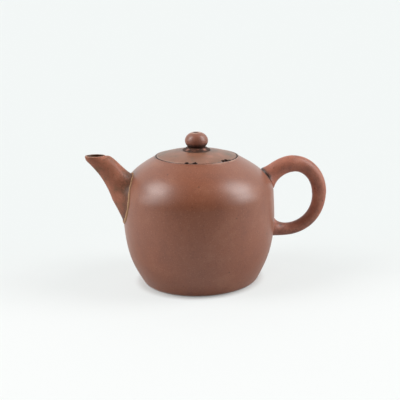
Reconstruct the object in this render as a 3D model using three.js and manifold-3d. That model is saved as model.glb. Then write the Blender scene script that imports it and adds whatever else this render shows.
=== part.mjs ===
// A small round teapot of unglazed red stoneware, built up the way such a pot is made by hand:
// a base disc, a beaten wall and a shoulder disc luted into one vessel, a ring that carries the
// inset lid, a hollow spout over a pierced strainer, a loop handle, and a lid of four pieces.
// Units are millimetres. +Z is up, the spout points to -X and the handle to +X.
// The origin is the middle of the base, on the surface that the pot stands on.

import * as THREE from 'three';
import { mergeVertices } from 'three/addons/utils/BufferGeometryUtils.js';
import Module from 'manifold-3d';

const wasm = await Module();
wasm.setup();

// Vessel
const FOOT_RADIUS = 36.3; // where the wall starts, just above the rounded foot edge
const FOOT_EDGE_RISE = 1.8;
const FOOT_WALL_ANGLE = 61.4; // degrees from level
const FOOT_PULL = 16.8; // how long the wall keeps its direction at the foot
const BELLY_RADIUS = 46.5;
const BELLY_HEIGHT = 54.5;
const BELLY_PULL_DOWN = 32.7;
const BELLY_PULL_UP = 12.4;
const RIM_RADIUS = 24.95; // inside of the rim that stands round the lid
const RIM_HEIGHT = 78.55;
const SHOULDER_ANGLE = 30.8; // degrees from level, at the rim
const SHOULDER_PULL = 11.8;
const WALL_THICKNESS = 3.0;
const BASE_THICKNESS = 3.4;
const SHOULDER_SEAM_DROP = 7.55; // the shoulder disc is luted on the wall this far under the rim
const RIM_ROUNDING = 0.45;

// Ring inside the mouth that the lid rests on
const LID_SEAT_DEPTH = 2.3; // below the rim
const MOUTH_RADIUS = 20.5;
const MOUTH_RING_DEPTH = 3.4;
const MOUTH_RING_RADIUS = 27.2;
const MOUTH_RING_CHAMFER = 0.9;

// Strainer, pierced through the wall behind the spout
const STRAINER_HEIGHT = 56.5;
const STRAINER_HOLE_RADIUS = 1.3;
const STRAINER_PITCH_RADIUS = 4.6;
const STRAINER_OUTER_HOLES = 6;

// Spout
const SPOUT_ROOT_HEIGHT = 60.0; // where its centre line leaves the vessel
const SPOUT_ROOT_SINK = 1.3; // how far that point lies inside the wall's outside
const SPOUT_ROOT_ANGLE = 57.9; // degrees from level
const SPOUT_ROOT_RADIUS = 9.85;
const SPOUT_ROOT_PULL = 26.5;
const SPOUT_RUN_IN = 20; // straight run back inside the vessel
const SPOUT_RUN_IN_SHARE = 0.62; // how far its widening goes on there, as a share of the spout
const SPOUT_MOUTH_STANDOFF = 15.5; // middle of the mouth, from the belly
const SPOUT_MOUTH_HEIGHT = 83.1;
const SPOUT_MOUTH_ANGLE = 61; // degrees from level
const SPOUT_MOUTH_PULL = 3.2;
const SPOUT_LEVEL_FROM = 0.6; // share of the spout's length where its sections start to level out
const SPOUT_LEVEL_EASE = 1.5;
const SPOUT_LENGTH_TAPER = 1.72; // above 1 the spout narrows quickly at first
const SPOUT_WIDTH_TAPER = 1.2;
const SPOUT_MOUTH_LENGTH = 12.4; // outside, along the pot's length
const SPOUT_MOUTH_WIDTH = 9.1;
const SPOUT_LIP_THICKNESS = 1.2;
const SPOUT_LIP_ROUNDING = 0.6;
const SPOUT_ROOT_THICKNESS = 2.7;
const SPOUT_SIDE_FLARE = 5.5; // the foot of the spout spreads over the belly at its sides
const SPOUT_OVER_FLARE = 1.8;
const SPOUT_UNDER_FLARE = 1.3;
const SPOUT_FLARE_BELOW = 0.6; // share of the side flare that is left at its lowest point
const SPOUT_FLARE_LENGTH = 2.6;
const SPOUT_FLARE_SINK = 1.6;
const SPOUT_FACET_HEIGHT = 2.6; // upright facet under the tip of the mouth
const SPOUT_FACET_DEPTH = 0.6;

// Bead of slip that seals the joint round the spout
const SLIP_RADIUS = 1.15;

// Handle
const HANDLE_TOP_STANDOFF = 14.0; // crown of its centre line, from the belly
const HANDLE_TOP_HEIGHT = 69.5;
const HANDLE_OUTER_STANDOFF = 31.1;
const HANDLE_OUTER_HEIGHT = 49.9;
const HANDLE_BOTTOM_STANDOFF = 8.5;
const HANDLE_BOTTOM_HEIGHT = 27.3;
const HANDLE_UPPER_ROOT_HEIGHT = 60.4;
const HANDLE_LOWER_ROOT_HEIGHT = 29.2;
const HANDLE_ROOT_SINK = 2.6; // how far the centre line runs on inside the wall's outside
const HANDLE_RUN_IN = 4; // straight run on from there, so that the whole section ends inside
const HANDLE_TOP_RADIUS = 5.2;
const HANDLE_OUTER_RADIUS = 4.5;
const HANDLE_BOTTOM_RADIUS = 3.7;
const HANDLE_TAPER = 0.5; // below 1 each stretch thins quickly at first
const HANDLE_UPPER_FLARE = 2.2;
const HANDLE_LOWER_FLARE = 4.6; // on the finger side of the lower joint
const HANDLE_UNDERSIDE_FLARE = 0.7; // below it
const HANDLE_FLARE_LENGTH = 3.6;
const HANDLE_WIDTH_RATIO = 1.04; // width across the pot over thickness

// Lid
const LID_CLEARANCE = 0.35; // between the lid's edge and the rim round it
const LID_RISE = 4.15; // the crown above the rim
const LID_THICKNESS = 3.1;
const LID_EDGE_ROUNDING = 0.6;
const FLANGE_CLEARANCE = 0.4; // between the flange and the mouth ring
const FLANGE_THICKNESS = 2.5;
const FLANGE_DEPTH = 11.0;
const FLANGE_TAPER = 0.5;
const FLANGE_TAPER_LENGTH = 4.4;
const VENT_RADIUS = 1.25;

// Chips knocked out of the lid's edge: degrees round from the front towards the handle,
// length along the edge and depth into the lid
const LID_CHIPS = [
  { angle: 36.8, length: 7.6, depth: 1.8 },
  { angle: -13.8, length: 2.9, depth: 1.1 },
  { angle: -22.7, length: 3.1, depth: 1.1 },
];

// Collar and knob
const COLLAR_RADIUS = 8.5;
const COLLAR_STEP_RADIUS = 6.9;
const COLLAR_TOP_RADIUS = 5.2;
const COLLAR_BEAD_HEIGHT = 0.95;
const COLLAR_HEIGHT = 1.9;
const NECK_RADIUS = 4.9;
const KNOB_RADIUS = 7.1;
const KNOB_HALF_HEIGHT = 5.5;
const KNOB_DIMPLE_RADIUS = 2.9;
const KNOB_DIMPLE_DEPTH = 0.45;

// Slip between two luted pieces where one is cut to the shape of the other
const LUTE_GAP = 0.3;
const SPOUT_SLIP_ALLOWANCE = 0.7; // how much the spout is grown by where it cuts its bead of slip

// Fineness of the surfaces
const SIDES_ROUND_POT = 56;
const SIDES_ROUND_KNOB = 32;
const SIDES_ROUND_SPOUT = 28;
const SIDES_ROUND_HANDLE = 20;
const SIDES_ROUND_HOLE = 10;
const SIDES_ROUND_SLIP = 8;
const SIDES_ROUND_CHIP = 12;
const SIDES_ALONG_CHIP = 8;
const STEPS_UP_FOOT = 3;
const STEPS_UP_OUTSIDE = 10; // below the belly, and again above it
const STEPS_UP_INSIDE = 7;
const STEPS_ALONG_RUN_IN = 3;
const STEPS_ALONG_SPOUT = 13;
const STEPS_ALONG_HANDLE = [8, 8, 9, 7]; // one number for each of its four curves
const STEPS_OVER_CROWN = 4;
const STEPS_UNDER_CROWN = 3;
const STEPS_OVER_COLLAR = 3;
const STEPS_OVER_KNOB = 11;
const SAME_POINT = 1e-4; // corners this close are one
const SAME_HEIGHT = 0.05; // outline points this close in height to a cut are left out

const rad = THREE.MathUtils.degToRad;
const point = (x, y) => new THREE.Vector2(x, y);
const direction = (degrees) => point(Math.cos(rad(degrees)), Math.sin(rad(degrees)));

// Solids

function withoutSlivers(geometry) {
  const bare = geometry.clone();
  bare.deleteAttribute('normal');
  bare.deleteAttribute('uv');
  const merged = mergeVertices(bare, SAME_POINT);
  const corners = merged.index.array;
  const kept = [];
  for (let i = 0; i < corners.length; i += 3) {
    const [a, b, c] = [corners[i], corners[i + 1], corners[i + 2]];
    if (a !== b && b !== c && c !== a) kept.push(a, b, c);
  }
  merged.setIndex(kept);
  return merged;
}

function toSolid(geometry) {
  const closed = withoutSlivers(geometry);
  return new wasm.Manifold(new wasm.Mesh({
    numProp: 3,
    vertProperties: new Float32Array(closed.attributes.position.array),
    triVerts: new Uint32Array(closed.index.array),
  }));
}

function toGeometry(solid) {
  const mesh = solid.getMesh();
  const geometry = new THREE.BufferGeometry();
  geometry.setAttribute('position', new THREE.BufferAttribute(mesh.vertProperties, 3));
  geometry.setIndex(new THREE.BufferAttribute(mesh.triVerts, 1));
  geometry.computeVertexNormals();
  return geometry;
}

// Turns a profile of (radius, height) points round the Z axis. The points run up the outside,
// so that the faces look outwards.
function turned(profile, sides) {
  const geometry = new THREE.LatheGeometry(profile, sides);
  geometry.rotateX(Math.PI / 2);
  const closed = withoutSlivers(geometry);
  closed.computeVertexNormals();
  return closed;
}

// A ring's profile closes on itself.
const turnedRing = (profile, sides) => turned([...profile, profile[0]], sides);

// Skins a row of rings, each with as many points. The row closes on itself or has an end at
// each side.
function lofted(rings, closesOnItself = false) {
  const sides = rings[0].length;
  const positions = rings.flat().flatMap((p) => [p.x, p.y, p.z]);
  const faces = [];
  const spans = closesOnItself ? rings.length : rings.length - 1;
  for (let ring = 0; ring < spans; ring += 1) {
    const here = ring * sides;
    const there = ((ring + 1) % rings.length) * sides;
    for (let side = 0; side < sides; side += 1) {
      const next = (side + 1) % sides;
      faces.push(here + side, here + next, there + side);
      faces.push(here + next, there + next, there + side);
    }
  }
  const last = (rings.length - 1) * sides;
  for (let side = 1; side < sides - 1 && !closesOnItself; side += 1) {
    faces.push(0, side + 1, side);
    faces.push(last, last + side, last + side + 1);
  }
  const geometry = new THREE.BufferGeometry();
  geometry.setAttribute('position', new THREE.Float32BufferAttribute(positions, 3));
  geometry.setIndex(faces);
  return geometry;
}

// The middle of a rounded corner.
const softened = (a, corner, b) => new THREE.QuadraticBezierCurve(a, corner, b).getPoint(0.5);

// Vessel profile

const wallFoot = point(FOOT_RADIUS, FOOT_EDGE_RISE);
const belly = point(BELLY_RADIUS, BELLY_HEIGHT);
const rim = point(RIM_RADIUS, RIM_HEIGHT);

const footEdgeMiddle = point(FOOT_RADIUS - FOOT_EDGE_RISE / Math.tan(rad(FOOT_WALL_ANGLE)), 0);
const footEdge = new THREE.QuadraticBezierCurve(
  point(footEdgeMiddle.x - wallFoot.distanceTo(footEdgeMiddle), 0),
  footEdgeMiddle,
  wallFoot,
);
const lowerWall = new THREE.CubicBezierCurve(
  wallFoot,
  wallFoot.clone().addScaledVector(direction(FOOT_WALL_ANGLE), FOOT_PULL),
  point(BELLY_RADIUS, BELLY_HEIGHT - BELLY_PULL_DOWN),
  belly,
);
const shoulder = new THREE.CubicBezierCurve(
  belly,
  point(BELLY_RADIUS, BELLY_HEIGHT + BELLY_PULL_UP),
  rim.clone().addScaledVector(direction(-SHOULDER_ANGLE), SHOULDER_PULL),
  rim,
);

// The vessel's outline, moved outwards along its own normals.
function vesselOutline(outwards, steps = STEPS_UP_OUTSIDE) {
  const sample = (curve, last, first) => {
    const points = [];
    for (let i = first; i <= last; i += 1) {
      const along = curve.getTangent(i / last);
      const at = curve.getPoint(i / last);
      points.push(point(at.x + along.y * outwards, at.y - along.x * outwards));
    }
    return points;
  };
  return [
    ...sample(footEdge, STEPS_UP_FOOT, 0),
    ...sample(lowerWall, steps, 1),
    ...sample(shoulder, steps, 1),
  ];
}

const heightLine = (a, b, height) => a.clone().lerp(b, (height - a.y) / (b.y - a.y));

// The stretch of an outline between two heights, from the lower to the upper.
function between(outline, low, high) {
  const start = Math.max(outline.findIndex((p) => p.y > low + SAME_HEIGHT), 1);
  const end = Math.max(outline.findIndex((p) => p.y >= high), 1);
  return [
    heightLine(outline[start - 1], outline[start], low),
    ...outline.filter((p) => p.y > low + SAME_HEIGHT && p.y < high - SAME_HEIGHT),
    heightLine(outline[end - 1], outline[end], high),
  ];
}

const outside = vesselOutline(0);
const inside = vesselOutline(-WALL_THICKNESS, STEPS_UP_INSIDE);

function radiusAt(outline, height) {
  if (height >= outline.at(-1).y) return outline.at(-1).x;
  const i = Math.max(outline.findIndex((p) => p.y >= height), 1);
  return heightLine(outline[i - 1], outline[i], height).x;
}

function heightAt(outline, radius) {
  for (let i = outline.length - 1; i > 0; i -= 1) {
    const [a, b] = [outline[i - 1], outline[i]];
    if (a.x >= radius && b.x <= radius) return THREE.MathUtils.mapLinear(radius, a.x, b.x, a.y, b.y);
  }
  return outline.at(-1).y;
}

// The whole vessel as one plain solid, grown by a clearance. It cuts what is luted on to it.
function vesselSolid(grown) {
  const outline = vesselOutline(grown);
  return toSolid(turned(
    [point(0, outline[0].y), ...outline, point(0, outline.at(-1).y)],
    SIDES_ROUND_POT,
  ));
}

// Vessel pieces

const shoulderSeamHeight = RIM_HEIGHT - SHOULDER_SEAM_DROP;
const seatHeight = RIM_HEIGHT - LID_SEAT_DEPTH;

function baseDisc() {
  return turned(
    [point(0, 0), ...between(outside, 0, BASE_THICKNESS), point(0, BASE_THICKNESS)],
    SIDES_ROUND_POT,
  );
}

function strainerHole(y, z) {
  const hole = new THREE.CylinderGeometry(
    STRAINER_HOLE_RADIUS,
    STRAINER_HOLE_RADIUS,
    BELLY_RADIUS,
    SIDES_ROUND_HOLE,
  );
  hole.rotateZ(Math.PI / 2);
  hole.translate(-BELLY_RADIUS, y, z);
  return toSolid(hole);
}

function bodyWall() {
  const outer = between(outside, BASE_THICKNESS, shoulderSeamHeight);
  const inner = between(inside, BASE_THICKNESS, shoulderSeamHeight);
  let wall = toSolid(turnedRing([...outer, ...inner.reverse()], SIDES_ROUND_POT));
  wall = wall.subtract(strainerHole(0, STRAINER_HEIGHT));
  for (let i = 0; i < STRAINER_OUTER_HOLES; i += 1) {
    const turn = (i / STRAINER_OUTER_HOLES) * 2 * Math.PI;
    wall = wall.subtract(strainerHole(
      STRAINER_PITCH_RADIUS * Math.cos(turn),
      STRAINER_HEIGHT + STRAINER_PITCH_RADIUS * Math.sin(turn),
    ));
  }
  return toGeometry(wall);
}

function shoulderDisc() {
  const outer = between(outside, shoulderSeamHeight, RIM_HEIGHT - RIM_ROUNDING);
  const inner = between(inside, shoulderSeamHeight, heightAt(inside, MOUTH_RING_RADIUS));
  const rimInside = point(RIM_RADIUS, RIM_HEIGHT - RIM_ROUNDING);
  return turnedRing([
    ...outer,
    softened(outer.at(-1), rim, rimInside),
    rimInside,
    point(RIM_RADIUS, seatHeight),
    point(MOUTH_RING_RADIUS, seatHeight),
    ...inner.reverse(),
  ], SIDES_ROUND_POT);
}

function mouthRing() {
  const outer = MOUTH_RING_RADIUS - LUTE_GAP;
  const bottom = seatHeight - MOUTH_RING_DEPTH;
  return turnedRing([
    point(MOUTH_RADIUS + MOUTH_RING_CHAMFER, bottom),
    point(outer - MOUTH_RING_CHAMFER, bottom),
    point(outer, bottom + MOUTH_RING_CHAMFER),
    point(outer, seatHeight),
    point(MOUTH_RADIUS, seatHeight),
    point(MOUTH_RADIUS, bottom + MOUTH_RING_CHAMFER),
  ], SIDES_ROUND_POT);
}

// Spout

const spoutRoot = point(
  radiusAt(outside, SPOUT_ROOT_HEIGHT) - SPOUT_ROOT_SINK,
  SPOUT_ROOT_HEIGHT,
);
const spoutMouth = point(
  BELLY_RADIUS + SPOUT_MOUTH_STANDOFF,
  SPOUT_MOUTH_HEIGHT - SPOUT_LIP_ROUNDING,
);
const spoutRootDirection = direction(SPOUT_ROOT_ANGLE);
const spoutLine = new THREE.CubicBezierCurve(
  spoutRoot,
  spoutRoot.clone().addScaledVector(spoutRootDirection, SPOUT_ROOT_PULL),
  spoutMouth.clone().addScaledVector(direction(SPOUT_MOUTH_ANGLE), -SPOUT_MOUTH_PULL),
  spoutMouth,
);

// The way a section of the spout faces: along the spout, and straight up at the level mouth.
function spoutFacing(share) {
  const along = spoutLine.getTangentAt(share);
  const past = Math.max((share - SPOUT_LEVEL_FROM) / (1 - SPOUT_LEVEL_FROM), 0);
  const turn = (Math.PI / 2 - along.angle()) * past ** SPOUT_LEVEL_EASE;
  return along.rotateAround(point(0, 0), turn);
}

// The spout's stations: a straight run inside the vessel, then the curve out to the mouth.
function spoutStations(past) {
  const stations = [];
  for (let i = STEPS_ALONG_RUN_IN; i > 0; i -= 1) {
    const back = i / STEPS_ALONG_RUN_IN;
    stations.push({
      at: spoutRoot.clone().addScaledVector(spoutRootDirection, -SPOUT_RUN_IN * back),
      along: spoutRootDirection,
      share: -SPOUT_RUN_IN_SHARE * back,
    });
  }
  for (let i = 0; i <= STEPS_ALONG_SPOUT; i += 1) {
    const share = i / STEPS_ALONG_SPOUT;
    stations.push({ at: spoutLine.getPointAt(share), along: spoutFacing(share), share });
  }
  if (past > 0) {
    const end = stations.at(-1);
    stations.push({ at: point(end.at.x, end.at.y + past), along: end.along, share: 1 });
  }
  return stations;
}

// How far a size has gone from its root value to its mouth value.
const taper = (share, power) => (share < 0 ? share : 1 - (1 - share) ** power);

function spoutRing({ at, along, share }, inwards, outwards) {
  const mix = THREE.MathUtils.lerp;
  const thick = inwards ? mix(SPOUT_ROOT_THICKNESS, SPOUT_LIP_THICKNESS, Math.max(share, 0)) : 0;
  const lengthwise = taper(share, SPOUT_LENGTH_TAPER);
  const crosswise = taper(share, SPOUT_WIDTH_TAPER);
  const length = mix(SPOUT_ROOT_RADIUS, SPOUT_MOUTH_LENGTH / 2, lengthwise) - thick;
  const width = mix(SPOUT_ROOT_RADIUS, SPOUT_MOUTH_WIDTH / 2, crosswise) - thick;
  const ring = [];
  for (let side = 0; side < SIDES_ROUND_SPOUT; side += 1) {
    const turn = (side / SIDES_ROUND_SPOUT) * 2 * Math.PI;
    const up = Math.cos(turn);
    const across = Math.sin(turn);
    let longer = outwards;
    let wider = outwards;
    if (!inwards) {
      const plain = point(at.x - along.y * length * up, at.y + along.x * length * up);
      const clear = Math.hypot(plain.x, width * across) - radiusAt(outside, plain.y);
      const flare = Math.exp(-Math.max(clear + SPOUT_FLARE_SINK, 0) / SPOUT_FLARE_LENGTH);
      const below = Math.max(-up, 0);
      const drop = (SPOUT_MOUTH_HEIGHT - plain.y) / SPOUT_FACET_HEIGHT;
      longer += flare * (up < 0 ? SPOUT_UNDER_FLARE : SPOUT_OVER_FLARE);
      longer += SPOUT_FACET_DEPTH * Math.max(1 - Math.abs(drop - 1), 0) * below;
      wider += flare * SPOUT_SIDE_FLARE * Math.abs(across) * mix(1, SPOUT_FLARE_BELOW, below);
    }
    ring.push(new THREE.Vector3(
      -(at.x - along.y * (length + longer) * up),
      (width + wider) * across,
      at.y + along.x * (length + longer) * up,
    ));
  }
  return ring;
}

function spoutOutside(grown) {
  const stations = spoutStations(0);
  const rings = stations.map((station) => spoutRing(station, false, grown));
  const lip = stations.at(-1);
  for (const turn of [Math.PI / 4, Math.PI / 2]) {
    const ring = spoutRing(lip, false, grown - SPOUT_LIP_ROUNDING * (1 - Math.cos(turn)));
    rings.push(ring.map((p) => p.setZ(lip.at.y + SPOUT_LIP_ROUNDING * Math.sin(turn))));
  }
  return toSolid(lofted(rings));
}

function spoutBore() {
  return toSolid(lofted(spoutStations(SPOUT_LIP_THICKNESS * 2).map((s) => spoutRing(s, true, 0))));
}

function spout() {
  return toGeometry(spoutOutside(0).subtract(spoutBore()).subtract(vesselSolid(LUTE_GAP)));
}

const clearOfVessel = (p) => Math.hypot(p.x, p.y) - radiusAt(outside, p.z);

// The line where the spout meets the vessel, one point for each side of the spout.
function spoutJoint() {
  const rings = spoutStations(0).map((station) => spoutRing(station, false, 0));
  return rings[0].map((_, side) => {
    const inner = rings.findLastIndex((ring) => clearOfVessel(ring[side]) <= 0);
    const [a, b] = [rings[inner][side], rings[inner + 1][side]];
    const share = clearOfVessel(a) / (clearOfVessel(a) - clearOfVessel(b));
    return a.clone().lerp(b, share);
  });
}

// A round bead along the joint, less what the spout and the vessel take of it. The spout's foot
// leans away, so it is grown by more than the gap to leave the gap square to its surface.
function spoutJointSlip() {
  const joint = spoutJoint();
  const rings = joint.map((at, i) => {
    const along = joint[(i + 1) % joint.length].clone().sub(joint.at(i - 1)).normalize();
    const out = new THREE.Vector3(at.x, at.y, 0).normalize();
    const across = new THREE.Vector3().crossVectors(along, out).normalize();
    return Array.from({ length: SIDES_ROUND_SLIP }, (_, side) => {
      const turn = (side / SIDES_ROUND_SLIP) * 2 * Math.PI;
      return at.clone()
        .addScaledVector(across, -SLIP_RADIUS * Math.cos(turn))
        .addScaledVector(out, SLIP_RADIUS * Math.sin(turn));
    });
  });
  const bead = toSolid(lofted(rings, true));
  return toGeometry(bead.subtract(spoutOutside(SPOUT_SLIP_ALLOWANCE)).subtract(vesselSolid(LUTE_GAP)));
}

// Handle

function handleLine() {
  const upperRoot = point(
    radiusAt(outside, HANDLE_UPPER_ROOT_HEIGHT) - HANDLE_ROOT_SINK,
    HANDLE_UPPER_ROOT_HEIGHT,
  );
  const lowerRoot = point(
    radiusAt(outside, HANDLE_LOWER_ROOT_HEIGHT) - HANDLE_ROOT_SINK,
    HANDLE_LOWER_ROOT_HEIGHT,
  );
  const top = point(BELLY_RADIUS + HANDLE_TOP_STANDOFF, HANDLE_TOP_HEIGHT);
  const outer = point(BELLY_RADIUS + HANDLE_OUTER_STANDOFF, HANDLE_OUTER_HEIGHT);
  const bottom = point(BELLY_RADIUS + HANDLE_BOTTOM_STANDOFF, HANDLE_BOTTOM_HEIGHT);
  const half = (a, b) => (a + b) / 2;
  const quarter = (crest, from, to) => new THREE.EllipseCurve(
    crest.x,
    outer.y,
    outer.x - crest.x,
    Math.abs(crest.y - outer.y),
    from,
    to,
    true,
  );
  return [
    new THREE.QuadraticBezierCurve(upperRoot, point(half(upperRoot.x, top.x), top.y), top),
    quarter(top, Math.PI / 2, 0),
    quarter(bottom, 0, -Math.PI / 2),
    new THREE.QuadraticBezierCurve(bottom, point(half(lowerRoot.x, bottom.x), bottom.y), lowerRoot),
  ];
}

function handleRing(at, along, thickness) {
  const ring = [];
  for (let side = 0; side < SIDES_ROUND_HANDLE; side += 1) {
    const turn = (side / SIDES_ROUND_HANDLE) * 2 * Math.PI;
    const out = Math.cos(turn);
    const across = Math.sin(turn);
    const plain = point(at.x - along.y * thickness * out, at.y + along.x * thickness * out);
    const clear = Math.max(Math.hypot(plain.x, thickness * across) - radiusAt(outside, plain.y), 0);
    const flare = at.y > HANDLE_OUTER_HEIGHT
      ? HANDLE_UPPER_FLARE
      : THREE.MathUtils.lerp(HANDLE_LOWER_FLARE, HANDLE_UNDERSIDE_FLARE, (out + 1) / 2);
    const size = thickness + flare * Math.exp(-clear / HANDLE_FLARE_LENGTH);
    ring.push(new THREE.Vector3(
      at.x - along.y * size * out,
      -size * across * HANDLE_WIDTH_RATIO,
      at.y + along.x * size * out,
    ));
  }
  return ring;
}

function handle() {
  const curves = handleLine();
  const thickness = [
    HANDLE_TOP_RADIUS,
    HANDLE_TOP_RADIUS,
    HANDLE_OUTER_RADIUS,
    HANDLE_BOTTOM_RADIUS,
    HANDLE_BOTTOM_RADIUS,
  ];
  const rings = [];
  curves.forEach((curve, i) => {
    const steps = STEPS_ALONG_HANDLE[i];
    for (let step = i === 0 ? 0 : 1; step <= steps; step += 1) {
      const share = step / steps;
      rings.push(handleRing(
        curve.getPointAt(share),
        curve.getTangentAt(share),
        THREE.MathUtils.lerp(thickness[i], thickness[i + 1], share ** HANDLE_TAPER),
      ));
    }
  });
  const upperRoot = curves[0].getPointAt(0);
  const lowerRoot = curves.at(-1).getPointAt(1);
  const upperWay = curves[0].getTangentAt(0);
  const lowerWay = curves.at(-1).getTangentAt(1);
  rings.unshift(handleRing(
    upperRoot.addScaledVector(upperWay, -HANDLE_RUN_IN),
    upperWay,
    HANDLE_TOP_RADIUS,
  ));
  rings.push(handleRing(
    lowerRoot.addScaledVector(lowerWay, HANDLE_RUN_IN),
    lowerWay,
    HANDLE_BOTTOM_RADIUS,
  ));
  return toGeometry(toSolid(lofted(rings)).subtract(vesselSolid(LUTE_GAP)));
}

// Lid

const lidRadius = RIM_RADIUS - LID_CLEARANCE;
const flangeRadius = MOUTH_RADIUS - FLANGE_CLEARANCE;
const flangeInside = flangeRadius - FLANGE_THICKNESS;
const crownHeight = RIM_HEIGHT + LID_RISE;
const crownRadius = (RIM_RADIUS ** 2 + LID_RISE ** 2) / (2 * LID_RISE);

function crownAt(radius, lowered = 0) {
  const sphere = crownRadius - lowered;
  return crownHeight - crownRadius + Math.sqrt(sphere ** 2 - radius ** 2);
}

function crown(from, to, steps, lowered) {
  const points = [];
  for (let i = 0; i <= steps; i += 1) {
    const radius = THREE.MathUtils.lerp(from, to, i / steps);
    points.push(point(radius, crownAt(radius, lowered)));
  }
  return points;
}

const knobSeatHeight = crownAt(COLLAR_RADIUS);

// A bite out of the lid's top edge, shaped like a lens that lies in the edge.
function lidChip({ angle, length, depth }) {
  const bite = new THREE.SphereGeometry(1, SIDES_ROUND_CHIP, SIDES_ALONG_CHIP);
  bite.scale(length / 2, depth, depth);
  bite.translate(0, -lidRadius, crownAt(lidRadius));
  bite.rotateZ(rad(angle));
  return toSolid(bite);
}

function lidPlate() {
  const corner = point(lidRadius, crownAt(lidRadius));
  const edge = point(lidRadius, corner.y - LID_EDGE_ROUNDING);
  const top = crown(COLLAR_RADIUS, lidRadius - LID_EDGE_ROUNDING, STEPS_OVER_CROWN, 0);
  const plate = turnedRing([
    ...crown(VENT_RADIUS, flangeInside, STEPS_UNDER_CROWN, LID_THICKNESS),
    point(flangeInside, seatHeight),
    point(lidRadius, seatHeight),
    edge,
    softened(edge, corner, top.at(-1)),
    ...top.reverse(),
    point(VENT_RADIUS, knobSeatHeight),
  ], SIDES_ROUND_POT);
  return toGeometry(LID_CHIPS.reduce((solid, chip) => solid.subtract(lidChip(chip)), toSolid(plate)));
}

function lidFlange() {
  const bottom = seatHeight - FLANGE_DEPTH;
  return turnedRing([
    point(flangeInside + FLANGE_TAPER, bottom),
    point(flangeRadius - FLANGE_TAPER, bottom),
    point(flangeRadius, bottom + FLANGE_TAPER_LENGTH),
    point(flangeRadius, seatHeight),
    point(flangeInside, seatHeight),
  ], SIDES_ROUND_POT);
}

// Collar and knob

// A rounded step from one radius and height in and up to the next.
function bead(outer, low, inner, high) {
  const points = [];
  for (let i = 0; i <= STEPS_OVER_COLLAR; i += 1) {
    const turn = (i / STEPS_OVER_COLLAR) * (Math.PI / 2);
    points.push(point(
      inner + (outer - inner) * Math.cos(turn),
      low + (high - low) * Math.sin(turn),
    ));
  }
  return points;
}

function knobCollar() {
  const beadTop = knobSeatHeight + COLLAR_BEAD_HEIGHT;
  const top = knobSeatHeight + COLLAR_HEIGHT;
  return turnedRing([
    point(VENT_RADIUS, knobSeatHeight),
    ...bead(COLLAR_RADIUS, knobSeatHeight, COLLAR_STEP_RADIUS, beadTop),
    ...bead(COLLAR_STEP_RADIUS, beadTop, COLLAR_TOP_RADIUS, top),
    point(VENT_RADIUS, top),
  ], SIDES_ROUND_KNOB);
}

function knob() {
  const neckTurn = Math.acos(NECK_RADIUS / KNOB_RADIUS);
  const dimpleTurn = Math.acos(KNOB_DIMPLE_RADIUS / KNOB_RADIUS);
  const bottom = knobSeatHeight + COLLAR_HEIGHT;
  const middle = bottom + KNOB_HALF_HEIGHT * Math.sin(neckTurn);
  const dimpleEdge = middle + KNOB_HALF_HEIGHT * Math.sin(dimpleTurn);
  const profile = [point(VENT_RADIUS, bottom)];
  for (let i = 0; i <= STEPS_OVER_KNOB; i += 1) {
    const turn = THREE.MathUtils.lerp(-neckTurn, dimpleTurn, i / STEPS_OVER_KNOB);
    profile.push(point(KNOB_RADIUS * Math.cos(turn), middle + KNOB_HALF_HEIGHT * Math.sin(turn)));
  }
  profile.push(point(VENT_RADIUS, dimpleEdge - KNOB_DIMPLE_DEPTH));
  return turnedRing(profile, SIDES_ROUND_KNOB);
}

// Clay colours

const clay = (color, roughness) => new THREE.MeshStandardMaterial({
  color,
  roughness,
  metalness: 0,
});
const bodyClay = () => clay(0x8f5a4a, 0.55);
const handleClay = () => clay(0x96574a, 0.55);
const lidClay = () => clay(0x8c5c4b, 0.6);
const slipClay = () => clay(0xa07850, 0.7);
const stainedClay = () => clay(0x4f3a33, 0.6);

const teapot = new THREE.Group();

function add(name, geometry, material) {
  const mesh = new THREE.Mesh(geometry, material);
  mesh.name = name;
  teapot.add(mesh);
}

add('base_disc', baseDisc(), bodyClay());
add('body_wall', bodyWall(), bodyClay());
add('shoulder_disc', shoulderDisc(), bodyClay());
add('mouth_ring', mouthRing(), bodyClay());
add('spout', spout(), bodyClay());
add('spout_joint_slip', spoutJointSlip(), slipClay());
add('handle', handle(), handleClay());
add('lid_plate', lidPlate(), lidClay());
add('lid_flange', lidFlange(), lidClay());
add('knob_collar', knobCollar(), stainedClay());
add('knob', knob(), lidClay());

export default teapot;
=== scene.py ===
# The looks of a small round teapot of unglazed red stoneware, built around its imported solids.
# Lengths are in metres and angles in degrees. The spout points to -X, the handle to +X, and the
# lid lifts along +Z.

import math

import bmesh
import bpy
import numpy as np
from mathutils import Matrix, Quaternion, Vector


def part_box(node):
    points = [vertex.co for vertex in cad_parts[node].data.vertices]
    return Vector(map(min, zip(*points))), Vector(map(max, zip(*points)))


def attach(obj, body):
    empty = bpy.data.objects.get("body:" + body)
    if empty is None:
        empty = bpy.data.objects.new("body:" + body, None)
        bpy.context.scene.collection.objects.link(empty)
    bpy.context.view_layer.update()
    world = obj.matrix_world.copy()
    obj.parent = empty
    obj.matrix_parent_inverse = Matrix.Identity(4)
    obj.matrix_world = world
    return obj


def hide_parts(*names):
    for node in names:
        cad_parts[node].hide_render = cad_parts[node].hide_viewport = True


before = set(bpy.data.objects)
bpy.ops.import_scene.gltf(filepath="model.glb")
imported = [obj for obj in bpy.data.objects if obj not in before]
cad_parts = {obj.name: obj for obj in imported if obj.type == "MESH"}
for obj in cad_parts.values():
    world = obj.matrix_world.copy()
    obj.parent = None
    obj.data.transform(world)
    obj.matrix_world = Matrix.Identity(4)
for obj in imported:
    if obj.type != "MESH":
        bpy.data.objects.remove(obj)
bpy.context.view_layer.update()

MM = 0.001

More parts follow.
